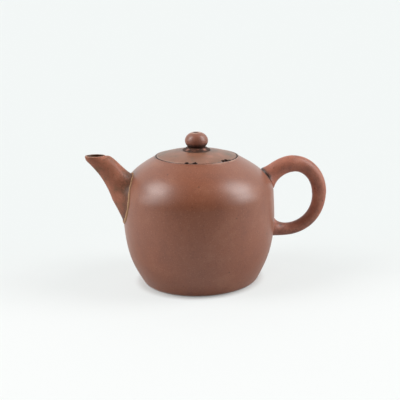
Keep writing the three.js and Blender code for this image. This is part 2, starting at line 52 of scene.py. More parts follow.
# Vessel. What the frame says of a size is read from there. A pull is how far a curve is drawn
# along the direction of its end before it bends.
BASE_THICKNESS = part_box("base_disc")[1].z
BELLY_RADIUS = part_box("body_wall")[1].y
SHOULDER_SEAM_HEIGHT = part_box("body_wall")[1].z
SEAT_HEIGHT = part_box("mouth_ring")[1].z
FOOT_RADIUS = 36.3 * MM
FOOT_EDGE_RISE = 1.8 * MM
FOOT_WALL_ANGLE = 61.4
FOOT_PULL = 16.8 * MM
BELLY_HEIGHT = 54.5 * MM
BELLY_PULL_DOWN = 32.7 * MM
BELLY_PULL_UP = 12.4 * MM
RIM_RADIUS = 24.95 * MM
SEAT_DEPTH = 2.3 * MM
RIM_HEIGHT = SEAT_HEIGHT + SEAT_DEPTH
SHOULDER_ANGLE = 30.8
SHOULDER_PULL = 11.8 * MM
WALL_THICKNESS = 3.0 * MM
RIM_ROUNDING = 0.45 * MM
RIM_ROUNDING_FROM = 60
UNDERSIDE_HOLLOW = 0.35 * MM
UNDERSIDE_HOLLOW_RADIUS = 30 * MM
BASE_MIDDLE_RADIUS = 0.6 * MM
INSIDE_FILLET = 2.2 * MM

# Ring that carries the lid
MOUTH_RADIUS = 20.5 * MM
MOUTH_RING_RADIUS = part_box("mouth_ring")[1].x
MOUTH_RING_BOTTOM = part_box("mouth_ring")[0].z
MOUTH_RING_ROUNDING = 0.9 * MM
MOUTH_RING_SOFT_EDGE = MOUTH_RING_ROUNDING / 3

# Strainer
STRAINER_HEIGHT = 56.5 * MM
STRAINER_HOLE_RADIUS = 1.3 * MM
STRAINER_PITCH_RADIUS = 4.6 * MM
STRAINER_OUTER_HOLES = 6
STRAINER_PIN_ENDS = (BELLY_RADIUS * 1.1, BELLY_RADIUS * 0.8)

# Spout. It turns level from a share of its length, and tapers by these powers.
SPOUT_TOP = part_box("spout")[1].z
SPOUT_ROOT_HEIGHT = 60.0 * MM
SPOUT_ROOT_SINK = 1.3 * MM
SPOUT_ROOT_ANGLE = 57.9
SPOUT_ROOT_RADIUS = 9.85 * MM
SPOUT_ROOT_PULL = 26.5 * MM
SPOUT_RUN_IN = 20 * MM
SPOUT_RUN_IN_SHARE = 0.62
SPOUT_MOUTH_REACH = BELLY_RADIUS + 15.0 * MM
SPOUT_MOUTH_TILT = 2
SPOUT_MOUTH_ANGLE = 61
SPOUT_MOUTH_PULL = 3.2 * MM
SPOUT_LEVEL_FROM = 0.6
SPOUT_LEVEL_EASE = 1.6
SPOUT_LENGTH_TAPER = 2.1
SPOUT_WIDTH_TAPER = 1.2
SPOUT_MOUTH_LENGTH = 12.4 * MM
SPOUT_MOUTH_WIDTH = 9.1 * MM
SPOUT_LIP_THICKNESS = 1.2 * MM
SPOUT_LIP_ROUNDING = 0.6 * MM
SPOUT_ROOT_THICKNESS = 2.7 * MM
SPOUT_SIDE_FLARE = 5.5 * MM
SPOUT_OVER_FLARE = 1.8 * MM
SPOUT_UNDER_FLARE = 1.3 * MM
SPOUT_FLARE_BELOW = 0.6
SPOUT_FLARE_LENGTH = 2.6 * MM
SPOUT_FLARE_SINK = 1.6 * MM
SPOUT_FACET_HEIGHT = 2.6 * MM
SPOUT_FACET_DEPTH = 0.4 * MM

# Slip along the spout's joint. A lump is its share of the size, how many go round, and its phase.
SLIP_HALF_WIDTH = 1.0 * MM
SLIP_HEIGHT = 0.6 * MM
SLIP_SPREAD = 0.35 * MM
SLIP_LUMPS = (
    (0.12, 7, 0),
    (0.1, 17, 1),
)

# Handle
HANDLE_TOP_RADIUS = 5.2 * MM
HANDLE_OUTER_RADIUS = 4.5 * MM
HANDLE_BOTTOM_RADIUS = 3.7 * MM
HANDLE_TAPER = 0.5
HANDLE_TOP_REACH = 60.5 * MM
HANDLE_TOP_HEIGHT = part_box("handle")[1].z - HANDLE_TOP_RADIUS
HANDLE_INSIDE_BOX = 0.01 * MM
HANDLE_OUTER_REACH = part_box("handle")[1].x - HANDLE_INSIDE_BOX - HANDLE_OUTER_RADIUS
HANDLE_OUTER_HEIGHT = 49.9 * MM
HANDLE_BOTTOM_REACH = 55.0 * MM
HANDLE_BOTTOM_HEIGHT = 27.3 * MM
HANDLE_UPPER_ROOT_HEIGHT = 60.4 * MM
HANDLE_LOWER_ROOT_HEIGHT = 29.2 * MM
HANDLE_ROOT_SINK = 2.6 * MM
HANDLE_RUN_IN = 6 * MM
HANDLE_UPPER_ROOT_OVER_FLARE = 2.2 * MM
HANDLE_UPPER_ROOT_UNDER_FLARE = 2.0 * MM
HANDLE_LOWER_ROOT_OVER_FLARE = 4.6 * MM
HANDLE_LOWER_ROOT_UNDER_FLARE = 0.7 * MM
HANDLE_FLARE_LENGTH = 3.6 * MM
HANDLE_WIDTH_RATIO = 1.04
HANDLE_CREASE_DEPTH = 0.7 * MM
HANDLE_CREASE_WIDTH = 0.8 * MM
HANDLE_SQUARENESS = 0.94

# The crease goes round the root from here to where it is full: -1 is its underside, 1 its top
HANDLE_CREASE_FROM = -0.1
HANDLE_CREASE_FULL = 0.8

# How deep the ends of the spout and the handle sit in the wall
JOINT_SINK = 0.8 * MM

# Lid
LID_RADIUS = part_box("lid_plate")[1].x
FLANGE_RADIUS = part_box("lid_flange")[1].x
FLANGE_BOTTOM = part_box("lid_flange")[0].z
FLANGE_THICKNESS = 2.5 * MM
FLANGE_TAPER = 0.5 * MM
FLANGE_TAPER_LENGTH = 4.4 * MM
FLANGE_ROUNDING = 0.6 * MM
LID_RISE = 4.15 * MM
LID_THICKNESS = 3.1 * MM
LID_EDGE_ROUNDING = 0.6 * MM
LID_EDGE_ROUNDING_TO = 75
VENT_RADIUS = 1.25 * MM

# Chips in the lid's edge: degrees from the front towards the handle, then length and depth
LID_CHIPS = (
    (36.8, 7.6 * MM, 2.1 * MM),
    (-12.0, 3.8 * MM, 1.8 * MM),
    (-22.8, 3.2 * MM, 1.6 * MM),
)

# Ragged edge of the chips: shares of their size, and radians per millimetre of edge
CHIP_WAVE = 0.16
CHIP_WAVE_TURN = 2.1
CHIP_RIPPLE = 0.07
CHIP_RIPPLE_TURN = 4.7

# Where the darkening starts and is full in a chip: 1 is its middle, 0 its edge, less than 0 outside it
CHIP_DARKENING_FROM = -0.35
CHIP_DARKENING_FULL = 0.1

# Collar and knob
COLLAR_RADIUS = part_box("knob_collar")[1].x
COLLAR_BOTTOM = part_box("knob_collar")[0].z
COLLAR_STEP_RADIUS = 6.9 * MM
COLLAR_TOP_RADIUS = 5.2 * MM
COLLAR_BEAD_HEIGHT = 0.95 * MM
COLLAR_SINK = 0.4 * MM
CROWN_INNER_RADIUS = COLLAR_RADIUS * 0.9
KNOB_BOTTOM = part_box("knob")[0].z
KNOB_HEIGHT = 8.9 * MM
KNOB_TOP = KNOB_BOTTOM + KNOB_HEIGHT
KNOB_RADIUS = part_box("knob")[1].x
NECK_RADIUS = 4.9 * MM
KNOB_DIMPLE_RADIUS = 2.9 * MM
KNOB_DIMPLE_DEPTH = 0.45 * MM
KNOB_DIMPLE_SHOULDER = 0.6 * MM
KNOB_DIMPLE_RISE = 0.1 * MM

# What the hand left in the shape: the shoulder leans to the handle, and nothing is quite round
LEAN_ANGLE = 1.85
LEAN = math.tan(math.radians(LEAN_ANGLE))
LEAN_FROM = 50 * MM
LEAN_TO = 76 * MM
WOBBLE = 0.11 * MM
SAG = 0.75 * MM
SAG_HEIGHT = 36 * MM
SAG_REACH = 14 * MM
SAG_TO_HANDLE = 0.35
WOBBLE_FULL_FROM = 12 * MM
SAG_FULL_FROM = 8 * MM

# Waves round the pot: share of the wobble, how many go round, phase, and twist in radians per metre
WAVES = (
    (1.0, 2, 0.7, 0),
    (0.7, 3, -1.1, 45),
    (0.45, 5, 2.0, -80),
    (0.35, 2, 0.0, 160),
)

# Fineness of the surfaces
SIDES_ROUND_POT = 224
SIDES_ROUND_LID = 720
SIDES_ROUND_KNOB = 128
SIDES_ROUND_SPOUT = 112
SIDES_ROUND_HANDLE = 72
SIDES_ROUND_STRAINER_PIN = 24
SIDES_ROUND_SLIP = 12
ROW_HEIGHT = 0.7 * MM
OUTLINE_POINTS = 200
ARC_POINTS = 7
UNDERSIDE_RINGS = 60
BASE_INSIDE_RINGS = 40
SPOUT_CURVE_POINTS = 400
SPOUT_STATIONS = 160
SPOUT_RUN_IN_STATIONS = 40
SPOUT_OUTSIDE_RINGS = 110
SPOUT_OUTSIDE_RING_EASE = 1.25
SPOUT_BORE_RINGS = 80
SPOUT_LIP_RINGS = 11
HANDLE_CURVE_POINTS = 120
HANDLE_STRETCH_STATIONS = 60
HANDLE_RUN_IN_STATIONS = 12
HANDLE_HALF_RINGS = 110
LID_UNDERSIDE_RINGS = 24
LID_RIM_RINGS = 16
LID_CROWN_RINGS = 90
COLLAR_STEP_RINGS = 14
KNOB_RINGS = 64
KNOB_DIMPLE_RINGS = 12
SHARP_ANGLE = 30

# Camera. It is turned round the pot and rolled as the photograph was taken.
CAMERA_AZIMUTH = -9
CAMERA_ELEVATION = 14.68
CAMERA_ROLL = 2.03
CAMERA_DISTANCE = 556 * MM
CAMERA_TARGET_HEIGHT = 50.5 * MM
CAMERA_TARGET_ASIDE = 1.16 * MM
CAMERA_SENSOR = 36
CAMERA_LENS = 80.73
CAMERA_NEAREST = 10 * MM


# Curves and outlines

def direction(degrees):
    return np.array((math.cos(math.radians(degrees)), math.sin(math.radians(degrees))))


def bezier(points, shares):
    """The points of a Bezier curve at these values of its parameter, from 0 to 1."""
    shares = np.asarray(shares)[..., None]
    points = [np.asarray(p, float) for p in points]
    while len(points) > 1:
        points = [a + (b - a) * shares for a, b in zip(points, points[1:])]
    return points[0]


def evenly(line, count):
    """The same line, with points an even length apart."""
    steps = np.linalg.norm(np.diff(line, axis=0), axis=1)
    length = np.concatenate(([0], np.cumsum(steps)))
    wanted = np.linspace(0, length[-1], count)
    return np.stack([np.interp(wanted, length, line[:, i]) for i in range(line.shape[1])], axis=1)


def arc(centre, radius, start, end):
    """Points of a circle between two angles in degrees."""
    turn = np.radians(np.linspace(start, end, ARC_POINTS))
    return np.stack([centre[0] + radius * np.cos(turn), centre[1] + radius * np.sin(turn)], axis=1)


def smooth(low, high, value):
    share = np.clip((value - low) / (high - low), 0, 1)
    return share * share * (3 - 2 * share)


def mix(a, b, share):
    return a + (b - a) * share


def vessel_outline():
    """The vessel's outside from under the foot's edge to the rim, as (radius, height)."""
    shares = np.linspace(0, 1, OUTLINE_POINTS)
    foot = np.array((FOOT_RADIUS, FOOT_EDGE_RISE))
    belly = np.array((BELLY_RADIUS, BELLY_HEIGHT))
    rim = np.array((RIM_RADIUS, RIM_HEIGHT))
    edge = np.array((FOOT_RADIUS - FOOT_EDGE_RISE / math.tan(math.radians(FOOT_WALL_ANGLE)), 0))
    edge_start = edge - np.array((np.linalg.norm(foot - edge), 0))
    foot_edge = bezier((edge_start, edge, foot), shares)
    lower = bezier((
        foot,
        foot + direction(FOOT_WALL_ANGLE) * FOOT_PULL,
        (BELLY_RADIUS, BELLY_HEIGHT - BELLY_PULL_DOWN),
        belly,
    ), shares)
    upper = bezier((
        belly,
        (BELLY_RADIUS, BELLY_HEIGHT + BELLY_PULL_UP),
        rim + direction(-SHOULDER_ANGLE) * SHOULDER_PULL,
        rim,
    ), shares)
    return np.concatenate((foot_edge, lower[1:], upper[1:]))


def moved_in(outline, distance):
    """An outline moved square to itself, towards the axis."""
    along = np.gradient(outline, axis=0)
    along /= np.linalg.norm(along, axis=1)[:, None]
    return outline + np.stack([-along[:, 1], along[:, 0]], axis=1) * distance


def between(outline, low, high):
    """The stretch of an outline between two heights, in steps of about a row."""
    inside = outline[(outline[:, 1] > low) & (outline[:, 1] < high)]
    ends = [(np.interp(h, outline[:, 1], outline[:, 0]), h) for h in (low, high)]
    line = np.concatenate(([ends[0]], inside, [ends[1]]))
    length = np.linalg.norm(np.diff(line, axis=0), axis=1).sum()
    return evenly(line, max(int(length / ROW_HEIGHT), 3))


def height_at(outline, radius):
    """The height at which an outline comes in to a radius, above its widest place."""
    widest = int(np.argmax(outline[:, 0]))
    return float(np.interp(-radius, -outline[widest:, 0], outline[widest:, 1]))


OUTSIDE = vessel_outline()
INSIDE = moved_in(OUTSIDE, WALL_THICKNESS)


# What the hand left

def wobble(angle, height):
    """How far the surface is out of round: a few slow waves, and a sag of the lower belly."""
    waves = sum(
        share * np.sin(count * angle + phase + twist * height) for share, count, phase, twist in WAVES
    )
    aside = np.cos(angle - math.radians(CAMERA_AZIMUTH))
    lopsided = 1 - SAG_TO_HANDLE + SAG_TO_HANDLE * aside
    sag = SAG * aside ** 2 * lopsided * np.exp(-(((height - SAG_HEIGHT) / SAG_REACH) ** 2))
    return (
        WOBBLE * waves * smooth(0, WOBBLE_FULL_FROM, height)
        + sag * smooth(0, SAG_FULL_FROM, height)
    )


def lean(x, height):
    return -LEAN * x * smooth(LEAN_FROM, LEAN_TO, height)


def clear_of_vessel(points):
    """How far points lie outside the vessel's finished outside, measured level."""
    x, y, z = points[..., 0], points[..., 1], points[..., 2]
    height = z - lean(x, z - lean(x, z))
    radius = np.interp(height, OUTSIDE[:, 1], OUTSIDE[:, 0])
    return np.hypot(x, y) - radius - wobble(np.arctan2(y, x), height)


# Meshes

def finished(piece):
    """Turns every face outwards and shades the piece smooth, with its sharp edges kept."""
    mesh = piece.data
    work = bmesh.new()
    work.from_mesh(mesh)
    bmesh.ops.recalc_face_normals(work, faces=work.faces)
    work.to_mesh(mesh)
    work.free()
    mesh.polygons.foreach_set("use_smooth", [True] * len(mesh.polygons))
    mesh.set_sharp_from_angle(angle=math.radians(SHARP_ANGLE))
    return piece


def skin(name, rings, loops):
    """A closed mesh over a stack of rings, which loops back to its start or ends in flat caps."""
    rows, sides = rings.shape[:2]
    side = np.arange(sides)
    following = (side + 1) % sides
    faces = []
    for row in range(rows if loops else rows - 1):
        here = row * sides
        there = (row + 1) % rows * sides
        faces += np.stack(
            [here + side, here + following, there + following, there + side], axis=1
        ).tolist()
    if not loops:
        faces.append(side[::-1].tolist())
        faces.append((side + (rows - 1) * sides).tolist())
    mesh = bpy.data.meshes.new(name)
    mesh.from_pydata(rings.reshape(-1, 3).tolist(), [], faces)
    piece = bpy.data.objects.new(name, mesh)
    bpy.context.scene.collection.objects.link(piece)
    return finished(piece)


def turned(profile, sides):
    """Angles, radii and heights of the rings of a profile turned round the pot's axis."""
    angle = np.linspace(0, 2 * math.pi, sides, endpoint=False)[None, :]
    return [np.broadcast_to(a, (len(profile), sides)) for a in (angle, profile[:, :1], profile[:, 1:])]


def pot_rings(profile):
    angle, radius, height = turned(profile, SIDES_ROUND_POT)
    radius = radius + wobble(angle, height)
    x = radius * np.cos(angle)
    return np.stack([x, radius * np.sin(angle), height + lean(x, height)], axis=2)


def lid_rings(profile, sides=SIDES_ROUND_LID):
    """The lid tilts as the shoulder leans, which carries the knob over to the handle's side."""
    angle, radius, height = turned(profile, sides)
    x = radius * np.cos(angle)
    aside = LEAN * np.maximum(height - RIM_HEIGHT, 0)
    return np.stack([x + aside, radius * np.sin(angle), height - LEAN * x], axis=2)


def corners(piece):
    points = np.empty(len(piece.data.vertices) * 3)
    piece.data.vertices.foreach_get("co", points)
    return points.reshape(-1, 3)


def paint(piece, **masks):
    """Keeps each mask for the materials: shares from 0 to 1, or one share for the whole piece."""
    count = len(piece.data.vertices)
    for name, shares in masks.items():
        layer = piece.data.attributes.new(name, "FLOAT", "POINT")
        shares = np.broadcast_to(np.clip(shares, 0, 1), count).astype(np.float32)
        layer.data.foreach_set("value", shares)


def near(points, line, reach):
    """1 on a line of points, fading to 0 at about twice the reach from it."""
    distance = np.full(len(points), np.inf)
    for at in line:
        distance = np.minimum(distance, np.linalg.norm(points - at, axis=1))
    return np.exp(-((distance / reach) ** 2))


def cut(piece, tools):
    """Takes tools out of a piece, and the tools themselves away."""
    for tool in tools:
        step = piece.modifiers.new("cut", "BOOLEAN")
        step.operation = "DIFFERENCE"
        step.solver = "EXACT"
        step.object = tool
    bpy.context.view_layer.update()
    ready = piece.evaluated_get(bpy.context.evaluated_depsgraph_get())
    mesh = bpy.data.meshes.new_from_object(ready)
    piece.modifiers.clear()
    piece.data = mesh
    for tool in tools:
        bpy.data.objects.remove(tool)
    return finished(piece)


def place(piece, body, slot, material, *nodes):
    piece.data.materials.clear()
    piece.data.materials.append(material)
    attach(piece, body)
    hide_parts(*nodes)


# Vessel

def base_disc():
    under = np.linspace(BASE_MIDDLE_RADIUS, OUTSIDE[0, 0], UNDERSIDE_RINGS)
    hollow = UNDERSIDE_HOLLOW * (1 - smooth(0, UNDERSIDE_HOLLOW_RADIUS, under))
    edge = between(OUTSIDE, 0, BASE_THICKNESS)
    over = np.linspace(edge[-1, 0], BASE_MIDDLE_RADIUS, BASE_INSIDE_RINGS)
    profile = np.concatenate((
        np.stack([under, hollow], axis=1)[:-1],
        edge,
        np.stack([over, np.full_like(over, BASE_THICKNESS)], axis=1)[1:],
    ))
    return skin("base_disc_clay", pot_rings(profile), loops=False)


def strainer_pin(y, z):
    turn = np.linspace(0, 2 * math.pi, SIDES_ROUND_STRAINER_PIN, endpoint=False)
    rings = [
        np.stack([
            np.full_like(turn, -reach),
            y + STRAINER_HOLE_RADIUS * np.cos(turn),
            z + STRAINER_HOLE_RADIUS * np.sin(turn),
        ], axis=1)
        for reach in STRAINER_PIN_ENDS
    ]
    return skin("strainer_pin", np.array(rings), loops=False)


def body_wall():
    outer = between(OUTSIDE, BASE_THICKNESS, SHOULDER_SEAM_HEIGHT)
    inner = between(INSIDE, BASE_THICKNESS, SHOULDER_SEAM_HEIGHT)[::-1]
    inner[:, 0] -= INSIDE_FILLET * np.exp(-(inner[:, 1] - BASE_THICKNESS) / INSIDE_FILLET)
    wall = skin("body_wall_clay", pot_rings(np.concatenate((outer, inner))), loops=True)
    turns = np.arange(STRAINER_OUTER_HOLES) / STRAINER_OUTER_HOLES * 2 * math.pi
    pins = [strainer_pin(0, STRAINER_HEIGHT)] + [
        strainer_pin(
            STRAINER_PITCH_RADIUS * math.cos(turn),
            STRAINER_HEIGHT + STRAINER_PITCH_RADIUS * math.sin(turn),
        )
        for turn in turns
    ]
    return cut(wall, pins)


def shoulder_disc():
    outer = between(OUTSIDE, SHOULDER_SEAM_HEIGHT, RIM_HEIGHT - RIM_ROUNDING)
    inner = between(INSIDE, SHOULDER_SEAM_HEIGHT, height_at(INSIDE, MOUTH_RING_RADIUS))[::-1]
    corner = (RIM_RADIUS + RIM_ROUNDING, RIM_HEIGHT - RIM_ROUNDING)
    profile = np.concatenate((
        outer[:-1],
        arc(corner, RIM_ROUNDING, RIM_ROUNDING_FROM, 180),
        [(RIM_RADIUS, SEAT_HEIGHT), (MOUTH_RING_RADIUS, SEAT_HEIGHT)],
        inner,
    ))
    return skin("shoulder_disc_clay", pot_rings(profile), loops=True)


def mouth_ring():
    outer = MOUTH_RING_RADIUS - MOUTH_RING_ROUNDING
    inner = MOUTH_RADIUS + MOUTH_RING_ROUNDING
    bottom = MOUTH_RING_BOTTOM + MOUTH_RING_ROUNDING
    soft = MOUTH_RING_SOFT_EDGE
    profile = np.concatenate((
        arc((outer, bottom), MOUTH_RING_ROUNDING, -90, 0),
        arc((MOUTH_RING_RADIUS - soft, SEAT_HEIGHT - soft), soft, 0, 90),
        arc((MOUTH_RADIUS + soft, SEAT_HEIGHT - soft), soft, 90, 180),
        arc((inner, bottom), MOUTH_RING_ROUNDING, 180, 270),
    ))
    return skin("mouth_ring_clay", pot_rings(profile), loops=True)


# Spout

def spout_line():
    """The spout's centre line as (reach, height), and the way that its sections face."""
    root_radius = np.interp(SPOUT_ROOT_HEIGHT, OUTSIDE[:, 1], OUTSIDE[:, 0])
    root = np.array((root_radius - SPOUT_ROOT_SINK, SPOUT_ROOT_HEIGHT))
    dip = SPOUT_MOUTH_LENGTH / 2 * math.sin(math.radians(SPOUT_MOUTH_TILT))
    mouth = np.array((SPOUT_MOUTH_REACH, SPOUT_TOP - SPOUT_LIP_ROUNDING - dip))
    root_way = direction(SPOUT_ROOT_ANGLE)
    line = evenly(bezier((
        root,
        root + root_way * SPOUT_ROOT_PULL,
        mouth - direction(SPOUT_MOUTH_ANGLE) * SPOUT_MOUTH_PULL,
        mouth,
    ), np.linspace(0, 1, SPOUT_CURVE_POINTS)), SPOUT_STATIONS)
    along = np.gradient(line, axis=0)
    turn = np.arctan2(along[:, 1], along[:, 0])
    share = np.linspace(0, 1, len(line))
    past = np.clip((share - SPOUT_LEVEL_FROM) / (1 - SPOUT_LEVEL_FROM), 0, 1)
    turn += (math.radians(90 + SPOUT_MOUTH_TILT) - turn) * past ** SPOUT_LEVEL_EASE
    back = np.linspace(1, 0, SPOUT_RUN_IN_STATIONS, endpoint=False)[:, None]
    at = np.concatenate((root - root_way * SPOUT_RUN_IN * back, line))
    turn = np.concatenate((np.full(len(back), math.radians(SPOUT_ROOT_ANGLE)), turn))
    share = np.concatenate((-SPOUT_RUN_IN_SHARE * back[:, 0], share))
    return at, np.stack([np.cos(turn), np.sin(turn)], axis=1), share


def taper(share, power):
    return np.where(share < 0, share, 1 - (1 - np.clip(share, 0, 1)) ** power)


def spout_surface(bore):
    """Every station's ring, outside or along the bore, before the wall trims it."""
    at, along, share = spout_line()
    thick = mix(SPOUT_ROOT_THICKNESS, SPOUT_LIP_THICKNESS, np.clip(share, 0, 1)) if bore else 0
    length = mix(SPOUT_ROOT_RADIUS, SPOUT_MOUTH_LENGTH / 2, taper(share, SPOUT_LENGTH_TAPER)) - thick
    width = mix(SPOUT_ROOT_RADIUS, SPOUT_MOUTH_WIDTH / 2, taper(share, SPOUT_WIDTH_TAPER)) - thick
    turn = np.linspace(0, 2 * math.pi, SIDES_ROUND_SPOUT, endpoint=False)
    up, across = np.cos(turn)[None, :], np.sin(turn)[None, :]
    length, width = length[:, None], width[:, None]

    def rings(lengthwise, crosswise):
        reach = at[:, :1] - along[:, 1:] * (length + lengthwise) * up
        height = at[:, 1:] + along[:, :1] * (length + lengthwise) * up
        return np.stack([-reach, (width + crosswise) * across, height], axis=2)

    plain = rings(0, 0)
    if bore:
        return plain
    away = np.maximum(clear_of_vessel(plain) + SPOUT_FLARE_SINK, 0)
    flare = np.exp(-away / SPOUT_FLARE_LENGTH)
    drop = (SPOUT_TOP - plain[:, :, 2]) / SPOUT_FACET_HEIGHT
    below = np.maximum(-up, 0)
    facet = np.maximum(1 - np.abs(drop - 1), 0) * below
    return rings(
        flare * np.where(up < 0, SPOUT_UNDER_FLARE, SPOUT_OVER_FLARE) + SPOUT_FACET_DEPTH * facet,
        flare * SPOUT_SIDE_FLARE * np.abs(across) * mix(1, SPOUT_FLARE_BELOW, below),
    )


def from_wall(surface, depth, count, ease=1.0):
    """Each side line of a surface, from where it leaves the wall to its last ring."""
    sides = []
    stations = np.arange(len(surface))
    for side in range(surface.shape[1]):
        line = surface[:, side]
        clear = clear_of_vessel(line) + depth
        inner = np.flatnonzero(clear <= 0)[-1]
        start = inner + clear[inner] / (clear[inner] - clear[inner + 1])
        wanted = mix(start, len(surface) - 1, np.linspace(0, 1, count) ** ease)
        sides.append(np.stack([np.interp(wanted, stations, line[:, i]) for i in range(3)], axis=1))
    return np.stack(sides, axis=1)


def spout_joint():
    """The line where the spout's outside meets the wall."""
    return from_wall(spout_surface(bore=False), depth=0, count=2)[0]


def lip(outer, inner):
    """Rings of the lip's rounding, from the outside over to the bore."""
    middle = (outer + inner) / 2
    rise = np.array((0, 0, SPOUT_LIP_ROUNDING))
    turns = np.linspace(0, math.pi, SPOUT_LIP_RINGS + 2)[1:-1]
    return np.array([
        middle + (outer - middle) * math.cos(turn) + rise * math.sin(turn) for turn in turns
    ])


def spout():
    surface = spout_surface(bore=False)
    outside = from_wall(surface, JOINT_SINK, SPOUT_OUTSIDE_RINGS, SPOUT_OUTSIDE_RING_EASE)
    bore = from_wall(spout_surface(bore=True), JOINT_SINK, SPOUT_BORE_RINGS)
    rings = np.concatenate((outside, lip(outside[-1], bore[-1]), bore[::-1]))
    return skin("spout_clay", rings, loops=True)


def spout_joint_slip():
    joint = spout_joint()
    count = len(joint)
    turn = np.linspace(0, 2 * math.pi, SIDES_ROUND_SLIP, endpoint=False)
    rings = []
    for i in range(count):
        at = Vector(joint[i])
        along = (Vector(joint[(i + 1) % count]) - Vector(joint[i - 1])).normalized()
        out = Vector((at.x, at.y, 0)).normalized()
        across = along.cross(out).normalized()
        round_joint = 2 * math.pi * i / count
        lumps = (share * math.sin(lump * round_joint + phase) for share, lump, phase in SLIP_LUMPS)
        size = sum(lumps, 1)
        middle = at - across * SLIP_SPREAD
        half_width = SLIP_HALF_WIDTH * size
        height = SLIP_HEIGHT * size
        rings.append([
            middle + across * (half_width * math.cos(t)) + out * (height * math.sin(t))
            for t in turn
        ])
    return skin("spout_joint_slip_bead", np.array(rings), loops=True)


# Handle

def ellipse_quarter(crest_reach, crest_height, start, end, squareness=1.0):
    turn = np.linspace(start, end, HANDLE_CURVE_POINTS)
    rise = abs(crest_height - HANDLE_OUTER_HEIGHT)
    aside = np.abs(np.cos(turn)) ** squareness
    up = np.sign(np.sin(turn)) * np.abs(np.sin(turn)) ** squareness
    return np.stack([
        crest_reach + (HANDLE_OUTER_REACH - crest_reach) * aside,
        HANDLE_OUTER_HEIGHT + rise * up,
    ], axis=1)


def handle_line():
    """The handle's centre line as (reach, height), and its thickness at each point."""
    def root(height):
        return np.array((np.interp(height, OUTSIDE[:, 1], OUTSIDE[:, 0]) - HANDLE_ROOT_SINK, height))

    upper, lower = root(HANDLE_UPPER_ROOT_HEIGHT), root(HANDLE_LOWER_ROOT_HEIGHT)
    top = np.array((HANDLE_TOP_REACH, HANDLE_TOP_HEIGHT))
    bottom = np.array((HANDLE_BOTTOM_REACH, HANDLE_BOTTOM_HEIGHT))
    shares = np.linspace(0, 1, HANDLE_CURVE_POINTS)
    stretches = (
        bezier((upper, ((upper[0] + top[0]) / 2, top[1]), top), shares),
        ellipse_quarter(HANDLE_TOP_REACH, HANDLE_TOP_HEIGHT, math.pi / 2, 0),
        ellipse_quarter(HANDLE_BOTTOM_REACH, HANDLE_BOTTOM_HEIGHT, 0, -math.pi / 2, HANDLE_SQUARENESS),
        bezier((bottom, ((lower[0] + bottom[0]) / 2, bottom[1]), lower), shares),
    )
    radii = (
        HANDLE_TOP_RADIUS,
        HANDLE_TOP_RADIUS,
        HANDLE_OUTER_RADIUS,
        HANDLE_BOTTOM_RADIUS,
        HANDLE_BOTTOM_RADIUS,
    )
    line = np.concatenate([evenly(stretch, HANDLE_STRETCH_STATIONS)[:-1] for stretch in stretches])
    share = np.linspace(0, 1, HANDLE_STRETCH_STATIONS)[:-1] ** HANDLE_TAPER
    thickness = np.concatenate([mix(start, end, share) for start, end in zip(radii, radii[1:])])
    run = np.linspace(1, 0, HANDLE_RUN_IN_STATIONS, endpoint=False)[:, None] * HANDLE_RUN_IN
    first = (line[0] - line[1]) / np.linalg.norm(line[0] - line[1])
    last = (line[-1] - line[-2]) / np.linalg.norm(line[-1] - line[-2])
    line = np.concatenate((line[0] + first * run, line, line[-1] + last * run[::-1]))
    return line, np.pad(thickness, len(run), mode="edge")


def handle_surface():
    line, thickness = handle_line()
    along = np.gradient(line, axis=0)
    along /= np.linalg.norm(along, axis=1)[:, None]
    turn = np.linspace(0, 2 * math.pi, SIDES_ROUND_HANDLE, endpoint=False)
    out, across = np.cos(turn)[None, :], np.sin(turn)[None, :]

    def ring(size):
        return np.stack([
            line[:, :1] - along[:, 1:] * size * out,
            -size * across * HANDLE_WIDTH_RATIO,
            line[:, 1:] + along[:, :1] * size * out,
        ], axis=2)

    plain = np.repeat(thickness[:, None], SIDES_ROUND_HANDLE, axis=1)
    clear = np.maximum(clear_of_vessel(ring(plain)), 0)
    upper = line[:, 1:] > HANDLE_OUTER_HEIGHT
    flare = np.where(
        upper,
        mix(HANDLE_UPPER_ROOT_UNDER_FLARE, HANDLE_UPPER_ROOT_OVER_FLARE, (out + 1) / 2),
        mix(HANDLE_LOWER_ROOT_OVER_FLARE, HANDLE_LOWER_ROOT_UNDER_FLARE, (out + 1) / 2),
    )
    crease = HANDLE_CREASE_DEPTH * smooth(HANDLE_CREASE_FROM, HANDLE_CREASE_FULL, out)
    crease = np.where(upper, crease, 0)
    size = plain + flare * np.exp(-clear / HANDLE_FLARE_LENGTH)
    size -= crease * np.exp(-((clear / HANDLE_CREASE_WIDTH) ** 2))
    return ring(size)


def handle_halves():
    """The handle's surface from each of its roots to its middle, the upper root first."""
    surface = handle_surface()
    middle = len(surface) // 2
    return surface[:middle + 1], surface[middle:][::-1]


def handle_joints():
    """The lines where the handle's upper and lower roots meet the wall."""
    return [from_wall(half, depth=0, count=2)[0] for half in handle_halves()]


def handle():
    upper, lower = [from_wall(half, JOINT_SINK, HANDLE_HALF_RINGS) for half in handle_halves()]
    return skin("handle_clay", np.concatenate((upper, lower[::-1][1:])), loops=False)


# Lid

def crown(radius, lowered=0.0):
    """The height of the lid's crown, or of a surface that far under it."""
    sphere = (RIM_RADIUS ** 2 + LID_RISE ** 2) / (2 * LID_RISE)
    return RIM_HEIGHT + LID_RISE - sphere + np.sqrt((sphere - lowered) ** 2 - radius ** 2)


def from_front(degrees):
    """An angle from the front towards the handle, as an angle round the axis in radians."""
    return math.radians(degrees - 90)


